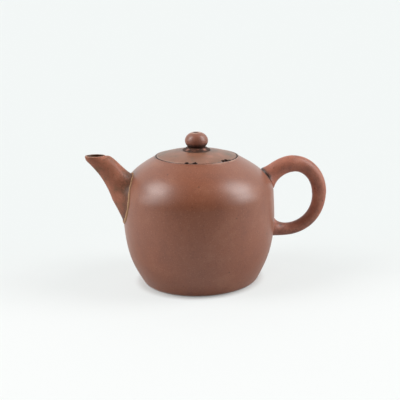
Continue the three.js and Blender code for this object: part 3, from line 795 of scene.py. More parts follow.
def chipped(points):
    """Moves the points that lie in a chip in and down on to its hollow, and gives how much they are
    darkened.
    """
    stain = np.zeros(len(points))
    for angle, length, depth in LID_CHIPS:
        turn = from_front(angle)
        out = np.array((math.cos(turn), math.sin(turn), 0))
        along = np.array((-math.sin(turn), math.cos(turn), 0))
        up = np.array((0, 0, 1))
        centre = out * LID_RADIUS + up * crown(LID_RADIUS) - up * LEAN * out[0] * LID_RADIUS
        away = points - centre
        lengthwise = away @ along
        ragged = 1 + CHIP_WAVE * np.sin(lengthwise / MM * CHIP_WAVE_TURN + angle)
        ragged += CHIP_RIPPLE * np.sin(lengthwise / MM * CHIP_RIPPLE_TURN)
        scaled = np.stack([lengthwise / (length / 2), away @ out / depth, away @ up / depth], axis=1)
        scaled /= ragged[:, None]
        push = np.array((0, -1, -1)) / math.sqrt(2)
        forward = scaled @ push
        inside = 1 - (scaled ** 2).sum(axis=1)
        caught = inside > 0
        travel = -forward + np.sqrt(np.maximum(forward ** 2 + inside, 0))
        step = -(out + up) / math.sqrt(2) * depth
        points[caught] += (travel * ragged)[caught, None] * step
        stain = np.maximum(stain, smooth(CHIP_DARKENING_FROM, CHIP_DARKENING_FULL, inside))
    return stain


def lid_plate():
    inner = FLANGE_RADIUS - FLANGE_THICKNESS
    edge = LID_RADIUS - LID_EDGE_ROUNDING
    under = np.linspace(VENT_RADIUS, inner, LID_UNDERSIDE_RINGS)
    over = np.linspace(edge, CROWN_INNER_RADIUS, LID_CROWN_RINGS)
    corner = (edge, crown(edge) - LID_EDGE_ROUNDING)
    rim_side = np.linspace(SEAT_HEIGHT, corner[1], LID_RIM_RINGS)
    profile = np.concatenate((
        np.stack([under, crown(under, LID_THICKNESS)], axis=1),
        [(inner, SEAT_HEIGHT)],
        np.stack([np.full_like(rim_side, LID_RADIUS), rim_side], axis=1),
        arc(corner, LID_EDGE_ROUNDING, 0, LID_EDGE_ROUNDING_TO)[1:],
        np.stack([over, crown(over)], axis=1)[1:],
        [(VENT_RADIUS, COLLAR_BOTTOM)],
    ))
    rings = lid_rings(profile)
    points = rings.reshape(-1, 3)
    stain = chipped(points)
    piece = skin("lid_plate_clay", points.reshape(rings.shape), loops=True)
    return piece, stain


def lid_flange():
    inner = FLANGE_RADIUS - FLANGE_THICKNESS
    foot = FLANGE_BOTTOM + FLANGE_ROUNDING
    profile = np.concatenate((
        arc((FLANGE_RADIUS - FLANGE_TAPER - FLANGE_ROUNDING, foot), FLANGE_ROUNDING, -90, 0),
        [(FLANGE_RADIUS, FLANGE_BOTTOM + FLANGE_TAPER_LENGTH), (FLANGE_RADIUS, SEAT_HEIGHT)],
        [(inner, SEAT_HEIGHT)],
        arc((inner + FLANGE_TAPER + FLANGE_ROUNDING, foot), FLANGE_ROUNDING, 180, 270),
    ))
    return skin("lid_flange_clay", lid_rings(profile, SIDES_ROUND_POT), loops=True)


def quarter_round(outer, low, inner, high):
    turn = np.radians(np.linspace(0, 90, COLLAR_STEP_RINGS))
    return np.stack([
        inner + (outer - inner) * np.cos(turn),
        low + (high - low) * np.sin(turn),
    ], axis=1)


def knob_collar():
    step = COLLAR_BOTTOM + COLLAR_BEAD_HEIGHT
    sunk = COLLAR_BOTTOM - COLLAR_SINK
    profile = np.concatenate((
        [(VENT_RADIUS, sunk), (COLLAR_RADIUS, sunk)],
        quarter_round(COLLAR_RADIUS, COLLAR_BOTTOM, COLLAR_STEP_RADIUS, step),
        quarter_round(COLLAR_STEP_RADIUS, step, COLLAR_TOP_RADIUS, KNOB_BOTTOM),
        [(VENT_RADIUS, KNOB_BOTTOM)],
    ))
    return skin("knob_collar_clay", lid_rings(profile, SIDES_ROUND_KNOB), loops=True)


def knob():
    neck = math.acos(NECK_RADIUS / KNOB_RADIUS)
    dimple = math.acos(KNOB_DIMPLE_RADIUS / KNOB_RADIUS)
    half_height = (KNOB_TOP - KNOB_BOTTOM) / (math.sin(neck) + math.sin(dimple))
    middle = KNOB_BOTTOM + half_height * math.sin(neck)
    turn = np.linspace(-neck, dimple, KNOB_RINGS)
    side = np.stack([KNOB_RADIUS * np.cos(turn), middle + half_height * np.sin(turn)], axis=1)
    well = KNOB_TOP - KNOB_DIMPLE_DEPTH
    profile = np.concatenate((
        [(VENT_RADIUS, KNOB_BOTTOM)],
        side,
        bezier((
            side[-1],
            (VENT_RADIUS + KNOB_DIMPLE_SHOULDER, KNOB_TOP + KNOB_DIMPLE_RISE),
            (VENT_RADIUS, well),
        ), np.linspace(0, 1, KNOB_DIMPLE_RINGS))[1:],
    ))
    return skin("knob_clay", lid_rings(profile, SIDES_ROUND_KNOB), loops=True)


# Shader nodes

def add(tree, kind, inputs=None, **settings):
    """A new node with its settings, and its inputs: each a value or what it is linked from."""
    made = tree.nodes.new("ShaderNode" + kind)
    for name, value in settings.items():
        setattr(made, name, value)
    for key, value in (inputs or {}).items():
        if isinstance(value, bpy.types.NodeSocket):
            tree.links.new(value, made.inputs[key])
        else:
            made.inputs[key].default_value = value
    return made


def calculate(tree, operation, *values):
    return add(tree, "Math", dict(enumerate(values)), operation=operation).outputs[0]


def times(tree, first, second):
    return calculate(tree, "MULTIPLY", first, second)


def measured(tree, vector, other, operation):
    return add(tree, "VectorMath", {0: vector, 1: other}, operation=operation).outputs["Value"]


def blended(tree, share, first, second, how="MIX"):
    """One colour laid over another by a share from 0 to 1."""
    inputs = {0: share, 6: first, 7: second}
    return add(tree, "Mix", inputs, data_type="RGBA", blend_type=how).outputs[2]


def ranged(tree, value, low, high, to_low=0.0, to_high=1.0):
    inputs = {0: value, 1: low, 2: high, 3: to_low, 4: to_high}
    return add(tree, "MapRange", inputs, interpolation_type="SMOOTHSTEP").outputs[0]


def noise(tree, vector, scale, detail=3.0, roughness=0.55):
    inputs = {"Vector": vector, "Scale": scale, "Detail": detail, "Roughness": roughness}
    return add(tree, "TexNoise", inputs).outputs[0]


def where(tree):
    return add(tree, "TexCoord").outputs["Object"]


def painted(tree, mask):
    return add(tree, "Attribute", attribute_name=mask).outputs["Fac"]


def effect(name, takes, gives):
    """A node group, what goes into it and what comes out of it. Sockets are given by kind."""
    group = bpy.data.node_groups.new(name, "ShaderNodeTree")
    for socket, kind in takes.items():
        group.interface.new_socket(socket, in_out="INPUT", socket_type="NodeSocket" + kind)
    for socket, kind in gives.items():
        group.interface.new_socket(socket, in_out="OUTPUT", socket_type="NodeSocket" + kind)
    inside = group.nodes.new("NodeGroupInput").outputs
    out = group.nodes.new("NodeGroupOutput").inputs
    return group, inside, out


def use(tree, group, inputs):
    return add(tree, "Group", inputs, node_tree=group).outputs


# How fine the grain, streaks and patches of the finish are, for each metre
IRON_SPECKS_PER_METRE = 190.0
GRAINS_PER_METRE = 1400.0
GRIT_PER_METRE = 900.0
STREAKS_PER_METRE = 420.0
STROKES_PER_METRE = 130.0
PATCHES_PER_METRE = 38.0
STAIN_BREAKS_PER_METRE = 850.0
RUBBED_PATCHES_PER_METRE = 260.0

# Streaks run upright, and the burnisher's strokes run round the pot
STREAKS_DRAWN_OUT = (1.0, 1.0, 0.09)
STROKES_DRAWN_OUT = (1.0, 1.0, 3.2)

# Iron specks: only the strongest of them show, up to a size in shares of their spacing
IRON_SHOWS_FROM = 0.62
IRON_SPECK_SIZE = 0.14
IRON_COLOUR = (0.55, 0.55, 0.55, 1)
IRON_STRENGTH = 0.55

# Shares that the pits between the grains have in the dark grains and in the relief
PIT_DARKNESS = 0.6
PIT_DEPTH = 0.35

# Values of the noise between which an effect grows from none to full
SPECK_EDGE = (-0.02, 0.04)
PALE_GRAINS = (0.56, 0.74)
DARK_GRAINS = (0.44, 0.28)
PITS = (0.0, 0.22)
PALE_CLOUDS = (0.5, 0.72)
DARK_CLOUDS = (0.5, 0.28)
STREAKS = (0.48, 0.72)
RUBBED_PATCHES = (0.3, 0.62)
LEAST_RUBBED = 0.35
STAIN_EDGE = (0.02, 0.98)
STAIN_EDGE_GAIN = 4.0

STAIN_BREAK_UP = 0.9
STAIN_ROUGHNESS = 0.5
BURNISH_UNEVENNESS = 0.16
FACET_STRENGTH = 0.25
FACET_DEPTH = 0.12 * MM
SAND_STRENGTH = 0.35
SAND_DEPTH = 0.07 * MM
CLAY_IOR = 1.5
SHEEN_ROUGHNESS = 0.29


def clay_grain():
    """The sandy grain of the clay: pale and dark grains, and the relief that they give."""
    tree, given, gives = effect(
        "clay grain",
        {"Grains per Metre": "Float", "Grit per Metre": "Float"},
        {"Pale Grains": "Float", "Dark Grains": "Float", "Specks": "Float", "Height": "Float"},
    )
    at = where(tree)
    iron = add(tree, "TexVoronoi", {"Vector": at, "Scale": IRON_SPECKS_PER_METRE}).outputs
    chosen = add(tree, "SeparateColor", {"Color": iron["Color"]}).outputs["Red"]
    size = ranged(tree, chosen, IRON_SHOWS_FROM, 1.0, to_low=0.0, to_high=IRON_SPECK_SIZE)
    speck = calculate(tree, "SUBTRACT", size, iron["Distance"])
    grain = noise(tree, at, given["Grains per Metre"], detail=2.5, roughness=0.6)
    grit = add(tree, "TexVoronoi", {"Vector": at, "Scale": given["Grit per Metre"]}).outputs
    pits = ranged(tree, grit["Distance"], *PITS, to_low=1.0, to_high=0.0)
    dark_grains = ranged(tree, grain, *DARK_GRAINS)
    dark_grains = calculate(tree, "MAXIMUM", dark_grains, times(tree, pits, PIT_DARKNESS))
    height = calculate(tree, "SUBTRACT", grain, times(tree, pits, PIT_DEPTH))
    tree.links.new(ranged(tree, speck, *SPECK_EDGE), gives["Specks"])
    tree.links.new(ranged(tree, grain, *PALE_GRAINS), gives["Pale Grains"])
    tree.links.new(dark_grains, gives["Dark Grains"])
    tree.links.new(height, gives["Height"])
    return tree


def fired_colour():
    """The colour of fired clay: clouds from the kiln, upright streaks of burnishing, and grains."""
    tree, given, gives = effect(
        "fired colour",
        {
            "Clay": "Color",
            "Dark Clay": "Color",
            "Pale Clay": "Color",
            "Clouds per Metre": "Float",
            "Clouding": "Float",
            "Streaking": "Float",
            "Pale Grains": "Float",
            "Dark Grains": "Float",
            "Specks": "Float",
            "Grain Contrast": "Float",
        },
        {"Colour": "Color"},
    )
    at = where(tree)
    clouds = noise(tree, at, given["Clouds per Metre"], detail=4.0, roughness=0.6)
    darker = times(tree, ranged(tree, clouds, *DARK_CLOUDS), given["Clouding"])
    paler = times(tree, ranged(tree, clouds, *PALE_CLOUDS), given["Clouding"])
    drawn_out = add(tree, "Mapping", {"Vector": at, "Scale": STREAKS_DRAWN_OUT}).outputs[0]
    streaks = noise(tree, drawn_out, STREAKS_PER_METRE, detail=3.0, roughness=0.6)
    streaks = times(tree, ranged(tree, streaks, *STREAKS), given["Streaking"])
    pale_grains = times(tree, given["Pale Grains"], given["Grain Contrast"])
    dark_grains = times(tree, given["Dark Grains"], given["Grain Contrast"])
    iron = blended(tree, 1.0, given["Dark Clay"], IRON_COLOUR, "MULTIPLY")
    colour = blended(tree, darker, given["Clay"], given["Dark Clay"])
    colour = blended(tree, paler, colour, given["Pale Clay"])
    colour = blended(tree, streaks, colour, given["Dark Clay"])
    colour = blended(tree, pale_grains, colour, given["Pale Clay"])
    colour = blended(tree, dark_grains, colour, given["Dark Clay"])
    colour = blended(tree, times(tree, given["Specks"], IRON_STRENGTH), colour, iron)
    tree.links.new(colour, gives["Colour"])
    return tree


def hand_burnish():
    """How the burnisher left the surface: smoother and rougher strokes, with faint facets."""
    tree, given, gives = effect(
        "hand burnish",
        {"Roughness": "Float", "Unevenness": "Float"},
        {"Roughness": "Float", "Height": "Float"},
    )
    at = where(tree)
    drawn_out = add(tree, "Mapping", {"Vector": at, "Scale": STROKES_DRAWN_OUT}).outputs[0]
    strokes = noise(tree, drawn_out, STROKES_PER_METRE, detail=4.0, roughness=0.62)
    patches = noise(tree, at, PATCHES_PER_METRE, detail=2.0, roughness=0.5)
    uneven = calculate(tree, "SUBTRACT", calculate(tree, "ADD", strokes, patches), 1.0)
    uneven = times(tree, uneven, given["Unevenness"])
    tree.links.new(calculate(tree, "ADD", given["Roughness"], uneven), gives["Roughness"])
    tree.links.new(strokes, gives["Height"])
    return tree


def tea_stain():
    """Tea that dried where a cloth doesn't reach, and painted shade in creases, seams and under parts,
    with a broken edge.
    """
    tree, given, gives = effect(
        "tea stain",
        {
            "Colour": "Color",
            "Roughness": "Float",
            "Stain": "Color",
            "Stain Roughness": "Float",
            "Mask": "Float",
        },
        {"Colour": "Color", "Roughness": "Float"},
    )
    mask = given["Mask"]
    broken = noise(tree, where(tree), STAIN_BREAKS_PER_METRE, detail=4.0, roughness=0.65)
    broken = times(tree, calculate(tree, "SUBTRACT", broken, 0.5), STAIN_BREAK_UP)
    edge = times(tree, mask, calculate(tree, "SUBTRACT", 1.0, mask))
    edge = times(tree, edge, STAIN_EDGE_GAIN)
    reach = calculate(tree, "ADD", mask, times(tree, broken, edge))
    reach = ranged(tree, reach, *STAIN_EDGE)
    tree.links.new(blended(tree, reach, given["Colour"], given["Stain"]), gives["Colour"])
    shift = calculate(tree, "SUBTRACT", given["Stain Roughness"], given["Roughness"])
    shift = times(tree, shift, reach)
    tree.links.new(calculate(tree, "ADD", given["Roughness"], shift), gives["Roughness"])
    return tree


def rubbed_edge():
    """Edges that years of handling have worn pale, and painted highlights laid on the same way."""
    tree, given, gives = effect(
        "rubbed edge",
        {"Colour": "Color", "Rubbed": "Color", "Mask": "Float"},
        {"Colour": "Color"},
    )
    patches = noise(tree, where(tree), RUBBED_PATCHES_PER_METRE, detail=3.0, roughness=0.6)
    patches = ranged(tree, patches, *RUBBED_PATCHES, to_low=LEAST_RUBBED, to_high=1.0)
    share = times(tree, given["Mask"], patches)
    tree.links.new(blended(tree, share, given["Colour"], given["Rubbed"]), gives["Colour"])
    return tree


CLAY_GRAIN = clay_grain()
FIRED_COLOUR = fired_colour()
HAND_BURNISH = hand_burnish()
TEA_STAIN_AND_SHADE = tea_stain()
RUBBED_EDGE_AND_HIGHLIGHT = rubbed_edge()


def screen_colour(red, green, blue):
    """A colour as a screen shows it, from 0 to 255, as the shaders take it."""
    shares = [c / 255 for c in (red, green, blue)]
    return (*[c / 12.92 if c <= 0.04045 else ((c + 0.055) / 1.055) ** 2.4 for c in shares], 1.0)


def clay(
    name,
    colours,
    clouding=0.45,
    streaking=0.12,
    clouds=46.0,
    grain=0.4,
    roughness=0.55,
    sheen_coat=0.62,
    specular=0.5,
    # The stain colour lays both tea stains and painted shade; the rubbed colour lays both rubbed clay
    # and painted highlights
    stain=screen_colour(62, 40, 32),
    rubbed=screen_colour(196, 160, 140),
):
    """A fired clay. Its colours are the clay's own, its darkest and its palest."""
    material = bpy.data.materials.new(name)
    material.use_nodes = True
    tree = material.node_tree
    shader = tree.nodes["Principled BSDF"]
    grains = use(tree, CLAY_GRAIN, {
        "Grains per Metre": GRAINS_PER_METRE,
        "Grit per Metre": GRIT_PER_METRE,
    })
    fired = use(tree, FIRED_COLOUR, {
        "Clay": colours[0],
        "Dark Clay": colours[1],
        "Pale Clay": colours[2],
        "Clouds per Metre": clouds,
        "Clouding": clouding,
        "Streaking": streaking,
        "Pale Grains": grains["Pale Grains"],
        "Dark Grains": grains["Dark Grains"],
        "Specks": grains["Specks"],
        "Grain Contrast": grain,
    })
    burnished = use(tree, HAND_BURNISH, {
        "Roughness": roughness,
        "Unevenness": BURNISH_UNEVENNESS,
    })
    rubbed_colour = use(tree, RUBBED_EDGE_AND_HIGHLIGHT, {
        "Colour": fired["Colour"],
        "Rubbed": rubbed,
        "Mask": painted(tree, "rubbed"),
    })
    stained = use(tree, TEA_STAIN_AND_SHADE, {
        "Colour": rubbed_colour["Colour"],
        "Roughness": burnished["Roughness"],
        "Stain": stain,
        "Stain Roughness": STAIN_ROUGHNESS,
        "Mask": painted(tree, "stain"),
    })
    facets = add(tree, "Bump", {
        "Height": burnished["Height"],
        "Strength": FACET_STRENGTH,
        "Distance": FACET_DEPTH,
    })
    sand = add(tree, "Bump", {
        "Height": grains["Height"],
        "Strength": SAND_STRENGTH,
        "Distance": SAND_DEPTH,
        "Normal": facets.outputs[0],
    })
    tree.links.new(stained["Colour"], shader.inputs["Base Color"])
    tree.links.new(stained["Roughness"], shader.inputs["Roughness"])
    tree.links.new(sand.outputs[0], shader.inputs["Normal"])
    shader.inputs["IOR"].default_value = CLAY_IOR
    shader.inputs["Specular IOR Level"].default_value = specular
    shader.inputs["Coat Weight"].default_value = sheen_coat
    shader.inputs["Coat Roughness"].default_value = SHEEN_ROUGHNESS
    return material


BODY_COLOURS = (
    screen_colour(140, 81, 55),
    screen_colour(110, 62, 45),
    screen_colour(166, 110, 84),
)
SPOUT_COLOURS = (
    screen_colour(160, 99, 76),
    screen_colour(120, 86, 64),
    screen_colour(176, 114, 90),
)
HANDLE_COLOURS = (
    screen_colour(165, 99, 76),
    screen_colour(118, 72, 56),
    screen_colour(184, 118, 94),
)
LID_COLOURS = (
    screen_colour(132, 87, 64),
    screen_colour(98, 76, 56),
    screen_colour(158, 102, 80),
)
KNOB_COLOURS = (
    screen_colour(140, 86, 66),
    screen_colour(110, 66, 50),
    screen_colour(164, 108, 86),
)
SLIP_COLOURS = (
    screen_colour(164, 124, 92),
    screen_colour(136, 98, 72),
    screen_colour(186, 150, 118),
)
STAINED_COLOURS = (
    screen_colour(74, 47, 34),
    screen_colour(46, 30, 22),
    screen_colour(134, 84, 66),
)

body_clay = clay(
    "burnished body clay",
    BODY_COLOURS,
    clouding=0.3,
    clouds=70.0,
    grain=0.7,
    roughness=0.48,
)
spout_clay = clay(
    "burnished spout clay",
    SPOUT_COLOURS,
    clouding=0.9,
    clouds=170.0,
    streaking=0.3,
    grain=0.7,
    roughness=0.65,
    sheen_coat=0.15,
    specular=0.25,
    stain=screen_colour(80, 50, 32),
)
handle_clay = clay(
    "red handle clay",
    HANDLE_COLOURS,
    clouding=0.7,
    clouds=150.0,
    grain=0.6,
    roughness=0.6,
    sheen_coat=0.25,
)
lid_clay = clay(
    "mottled lid clay",
    LID_COLOURS,
    clouding=1.0,
    clouds=95.0,
    grain=0.5,
    sheen_coat=0.4,
)
knob_clay = clay(
    "handled knob clay",
    KNOB_COLOURS,
    clouding=0.3,
    roughness=0.5,
    sheen_coat=0.42,
)
slip_clay = clay(
    "pale joint slip",
    SLIP_COLOURS,
    roughness=0.75,
    sheen_coat=0.0,
    specular=0.25,
)
stained_clay = clay(
    "tea-stained collar clay",
    STAINED_COLOURS,
    clouding=1.0,
    clouds=330.0,
    roughness=0.6,
    sheen_coat=0.0,
    specular=0.3,
    # The pale colour of the collar's two painted highlights
    rubbed=screen_colour(196, 136, 118),
)


# Stains, painted shade, rubbed places and painted highlights. A mask of 1 is all stain or painted
# shade, or clay that is rubbed or painted all pale.

# Inside the pot, painted shade in the seam between the rim and the lid, and under the lid
INSIDE_STAIN = 0.85
INSIDE_BEGINS = 1.5 * MM
SEAM_PAINTED_SHADE = 0.6
SEAM_WIDENING = 6
RIM_SEAM_AT_FRONT = 0.15 * MM
RIM_SEAM_AT_SIDES = 0.7 * MM
RIM_SEAM_DEPTH = 3 * MM
LID_SEAM_AT_FRONT = 0.2 * MM
LID_SEAM_AT_SIDES = 0.8 * MM
LID_SEAM_DARKEST = 0.3
UNDER_LID_STAIN = 0.8
UNDER_LID_BEGINS = 0.8 * MM
FLANGE_STAIN = 0.5

# Rim rubbed pale, with a painted highlight along its edge, and a rubbed foot
RIM_RUBBED_AND_HIGHLIGHT = 0.6
RIM_PALE_REACH = 0.9 * MM
RIM_PALE_FULL = 0.4 * MM
RIM_PALE_FROM_X = -10 * MM
RIM_PALE_FULL_X = 22 * MM
FOOT_RUBBED = 0.3
FOOT_RUBBED_HEIGHT = 1.2 * MM
FOOT_RUBBED_WIDTH = 6 * MM

# Round the spout's joint, in its bore and on its lip
WALL_BY_SPOUT_DARKENING = 0.35
WALL_BY_SPOUT_REACH = 4 * MM
WALL_BY_SPOUT_FROM = 59 * MM
WALL_BY_SPOUT_FULL = 66 * MM
SPOUT_ROOT_DARKENING = 0.7
SPOUT_ROOT_DARKENING_REACH = 7 * MM
BORE_STAIN = 0.95
LIP_RUBBED = 0.7
LIP_RUBBED_FROM = 0.5 * MM
LIP_RUBBED_FULL = 0.1 * MM
LIP_TOP_RING = SPOUT_OUTSIDE_RINGS + SPOUT_LIP_RINGS // 2

# Painted shade in the crease over the handle's upper root, darker round its foot, and painted shade
# that darkens the handle towards its bottom
CREASE_PAINTED_SHADE = 0.9
CREASE_SHADE_FROM = 0.35
CREASE_SHADE_FULL = 0.8
WALL_CREASE_REACH = 2.4 * MM
CREASE_REACH = 1.7 * MM
CREASE_REACH_AT_TOP = 2.8 * MM
WALL_BY_FOOT_DARKENING = 0.3
WALL_BY_FOOT_REACH = 1.2 * MM
HANDLE_FOOT_DARKENING = 0.25
HANDLE_LOWER_PAINTED_SHADE = 0.34
HANDLE_UNDER_FROM = 43 * MM
HANDLE_UNDER_FULL = 28 * MM

# On the lid: round the collar, and a rubbed line just inside the edge on the spout's side
COLLAR_FOOT_STAIN = 0.55
COLLAR_FOOT_REACH = 1.8 * MM
LID_RUBBED = 0.35
LID_RUBBED_INNER_EDGE = (1.0 * MM, 0.6 * MM)
LID_RUBBED_OUTER_EDGE = (0.1 * MM, 0.3 * MM)
LID_RUBBED_FROM_X = 5 * MM
LID_RUBBED_FULL_X = -20 * MM

# Collar, with two painted highlights where the lamps glint on its bead: degrees from the camera
# towards the handle
COLLAR_STAIN = 0.5
COLLAR_EDGE_WIDTH = 1.2 * MM
COLLAR_PAINTED_GLINT = 0.9
COLLAR_GLINT_TURNS = (-49, 46)
COLLAR_GLINT_RADIUS = 7.1 * MM
COLLAR_GLINT_HEIGHT = 0.9 * MM
COLLAR_GLINT_REACH = 1.0 * MM

# Knob: painted shade on its lower half down to the neck, stained at its vent, and rubbed round its
# dimple
NECK_SHADE_FROM = 4.2 * MM
NECK_SHADE_FULL = 0.8 * MM
VENT_STAIN_REACH = 1.1 * MM
VENT_STAIN_FULL = 0.1 * MM
KNOB_RUBBED = 0.6
KNOB_RUBBED_FROM = 0.9 * MM
KNOB_RUBBED_FULL = 0.1 * MM
KNOB_RUBBED_WIDTH = 1.2 * MM


def upper_joint(joint, points):
    """How far the points lie towards the top of a joint."""
    low, high = joint[:, 2].min(), joint[:, 2].max()
    starts = mix(low, high, CREASE_SHADE_FROM)
    full = mix(low, high, CREASE_SHADE_FULL)
    return smooth(starts, full, points[:, 2])


def seam_width(points, radius, at_front, at_sides):
    """How wide the painted shade in the seam round the lid is: narrow at the front and back, wide at
    the sides.
    """
    aside = np.minimum(np.abs(points[:, 0]) / radius, 1)
    return mix(at_front, at_sides, aside ** SEAM_WIDENING)


def dress_vessel():
    base = base_disc()
    wall = body_wall()
    shoulder = shoulder_disc()
    ring = mouth_ring()
    at_spout = spout_joint()
    at_handle, at_handle_foot = handle_joints()
    for piece in (base, wall, shoulder, ring):
        points = corners(piece)
        radius = np.hypot(points[:, 0], points[:, 1])
        height = points[:, 2] - lean(points[:, 0], points[:, 2])
        inside = clear_of_vessel(points) < -INSIDE_BEGINS
        # Darker on the wall near the top of the spout's joint
        by_spout = WALL_BY_SPOUT_DARKENING * near(points, at_spout, WALL_BY_SPOUT_REACH)
        by_spout *= smooth(WALL_BY_SPOUT_FROM, WALL_BY_SPOUT_FULL, points[:, 2])
        # Painted shade in the crease over the handle's upper root, and darker round the handle's foot
        crease = CREASE_PAINTED_SHADE * near(points, at_handle, WALL_CREASE_REACH)
        crease *= upper_joint(at_handle, points)
        by_foot = WALL_BY_FOOT_DARKENING * near(points, at_handle_foot, WALL_BY_FOOT_REACH)
        # Painted shade in the seam between the rim and the lid
        seam = seam_width(points, RIM_RADIUS, RIM_SEAM_AT_FRONT, RIM_SEAM_AT_SIDES)
        at_rim = (radius < RIM_RADIUS + seam) & (points[:, 2] > SEAT_HEIGHT - RIM_SEAM_DEPTH)
        stain = np.maximum(by_spout + crease, by_foot)
        stain = np.where(inside, INSIDE_STAIN, np.where(at_rim, SEAM_PAINTED_SHADE, stain))
        # Rubbed pale clay and a painted highlight along the rim's outer edge, stronger towards the
        # handle
        rim = smooth(RIM_RADIUS + RIM_PALE_REACH, RIM_RADIUS + RIM_PALE_FULL, radius)
        rim *= height > SEAT_HEIGHT
        rim *= RIM_RUBBED_AND_HIGHLIGHT * smooth(RIM_PALE_FROM_X, RIM_PALE_FULL_X, points[:, 0])
        foot = (height < FOOT_RUBBED_HEIGHT) & (radius > FOOT_RADIUS - FOOT_RUBBED_WIDTH)
        rubbed = np.maximum(rim, FOOT_RUBBED * foot)
        paint(piece, stain=stain, rubbed=np.where(inside, 0, rubbed))
    place(base, "pot", "body_clay", body_clay, "base_disc")
    place(wall, "pot", "body_clay", body_clay, "body_wall")
    place(shoulder, "pot", "body_clay", body_clay, "shoulder_disc")
    place(ring, "pot", "body_clay", body_clay, "mouth_ring")


def dress_spout():
    piece = spout()
    points = corners(piece)
    ring = np.arange(len(points)) // SIDES_ROUND_SPOUT
    bore = ring > LIP_TOP_RING + 1
    # Darker on the spout near its joint with the wall
    root = SPOUT_ROOT_DARKENING * near(points, spout_joint(), SPOUT_ROOT_DARKENING_REACH)
    top = points[:, 2].max()
    lip = smooth(top - LIP_RUBBED_FROM, top - LIP_RUBBED_FULL, points[:, 2])
    lip *= points[:, 1] < 0
    stain = np.where(bore, BORE_STAIN, root)
    paint(piece, stain=stain, rubbed=np.where(bore, 0, LIP_RUBBED * lip))
    place(piece, "pot", "body_clay", spout_clay, "spout")


def dress_spout_joint():
    bead = spout_joint_slip()
    paint(bead, stain=0, rubbed=0)
    place(bead, "pot", "slip_clay", slip_clay, "spout_joint_slip")


def dress_handle():
    piece = handle()
    points = corners(piece)
    joint = handle_joints()[0]
    at_top = upper_joint(joint, points)
    upper = points[:, 2] > HANDLE_OUTER_HEIGHT
    # Painted shade in the crease at the upper root, and darker round the foot
    root = np.where(upper, CREASE_PAINTED_SHADE * at_top, HANDLE_FOOT_DARKENING)
    reach = mix(CREASE_REACH, CREASE_REACH_AT_TOP, at_top ** 2)
    root *= np.exp(-((clear_of_vessel(points) / reach) ** 2))
    # Painted shade that darkens the handle towards its bottom
    under = HANDLE_LOWER_PAINTED_SHADE * smooth(HANDLE_UNDER_FROM, HANDLE_UNDER_FULL, points[:, 2])
    paint(piece, stain=np.maximum(root, under), rubbed=0)
    place(piece, "pot", "handle_clay", handle_clay, "handle")


def dress_lid_plate():
    plate, chips = lid_plate()
    points = corners(plate)
    height = points[:, 2] + LEAN * points[:, 0]
    radius = np.hypot(points[:, 0] - LEAN * np.maximum(height - RIM_HEIGHT, 0), points[:, 1])
    under = height < crown(np.minimum(radius, LID_RADIUS)) - UNDER_LID_BEGINS
    # Painted shade in the seam along the lid's edge
    seam = seam_width(points, LID_RADIUS, LID_SEAM_AT_FRONT, LID_SEAM_AT_SIDES)
    crevice = smooth(LID_RADIUS - seam, LID_RADIUS - LID_SEAM_DARKEST * seam, radius)
    at_collar = smooth(COLLAR_RADIUS + COLLAR_FOOT_REACH, COLLAR_RADIUS, radius)
    over = np.maximum(SEAM_PAINTED_SHADE * crevice, COLLAR_FOOT_STAIN * at_collar)
    stain = np.maximum(np.where(under, UNDER_LID_STAIN, over), chips)
    from_edge = LID_RADIUS - radius
    rubbed = smooth(*LID_RUBBED_INNER_EDGE, from_edge) * smooth(*LID_RUBBED_OUTER_EDGE, from_edge)
    rubbed *= LID_RUBBED * smooth(LID_RUBBED_FROM_X, LID_RUBBED_FULL_X, points[:, 0])
    paint(plate, stain=stain, rubbed=np.where(under, 0, rubbed))
    place(plate, "lid", "lid_clay", lid_clay, "lid_plate")


def dress_lid_flange():
    flange = lid_flange()
    paint(flange, stain=FLANGE_STAIN, rubbed=0)
    place(flange, "lid", "lid_clay", lid_clay, "lid_flange")


def dress_knob_collar():
    collar = knob_collar()
    points = corners(collar)
    radius = np.hypot(points[:, 0], points[:, 1])
    edge = smooth(COLLAR_RADIUS - COLLAR_EDGE_WIDTH, COLLAR_RADIUS, radius)
    glints = []
    for turn in COLLAR_GLINT_TURNS:
        towards = from_front(turn + CAMERA_AZIMUTH)
        glints.append(np.array((
            COLLAR_GLINT_RADIUS * math.cos(towards),
            COLLAR_GLINT_RADIUS * math.sin(towards),
            COLLAR_BOTTOM + COLLAR_GLINT_HEIGHT,
        )))
    # Two painted highlights on the collar's bead, where the lamps glint
    rubbed = COLLAR_PAINTED_GLINT * near(points, glints, COLLAR_GLINT_REACH)
    paint(collar, stain=COLLAR_STAIN * edge, rubbed=rubbed)
    place(collar, "lid", "stained_clay", stained_clay, "knob_collar")


def dress_knob():
    grip = knob()
    points = corners(grip)
    height = points[:, 2]
    radius = np.hypot(points[:, 0], points[:, 1])
    # Painted shade on the knob's lower half, darkest at its neck
    neck = smooth(KNOB_BOTTOM + NECK_SHADE_FROM, KNOB_BOTTOM + NECK_SHADE_FULL, height)
    vent = smooth(VENT_RADIUS + VENT_STAIN_REACH, VENT_RADIUS + VENT_STAIN_FULL, radius)
    ring = smooth(KNOB_TOP - KNOB_RUBBED_FROM, KNOB_TOP - KNOB_RUBBED_FULL, height)
    ring *= smooth(KNOB_DIMPLE_RADIUS + KNOB_RUBBED_WIDTH, KNOB_DIMPLE_RADIUS, radius)
    paint(grip, stain=np.maximum(neck, vent), rubbed=KNOB_RUBBED * ring)
    place(grip, "lid", "lid_clay", knob_clay, "knob")


dress_vessel()
dress_spout()
dress_spout_joint()
dress_handle()
dress_lid_plate()
dress_lid_flange()
dress_knob_collar()
dress_knob()


# Studio

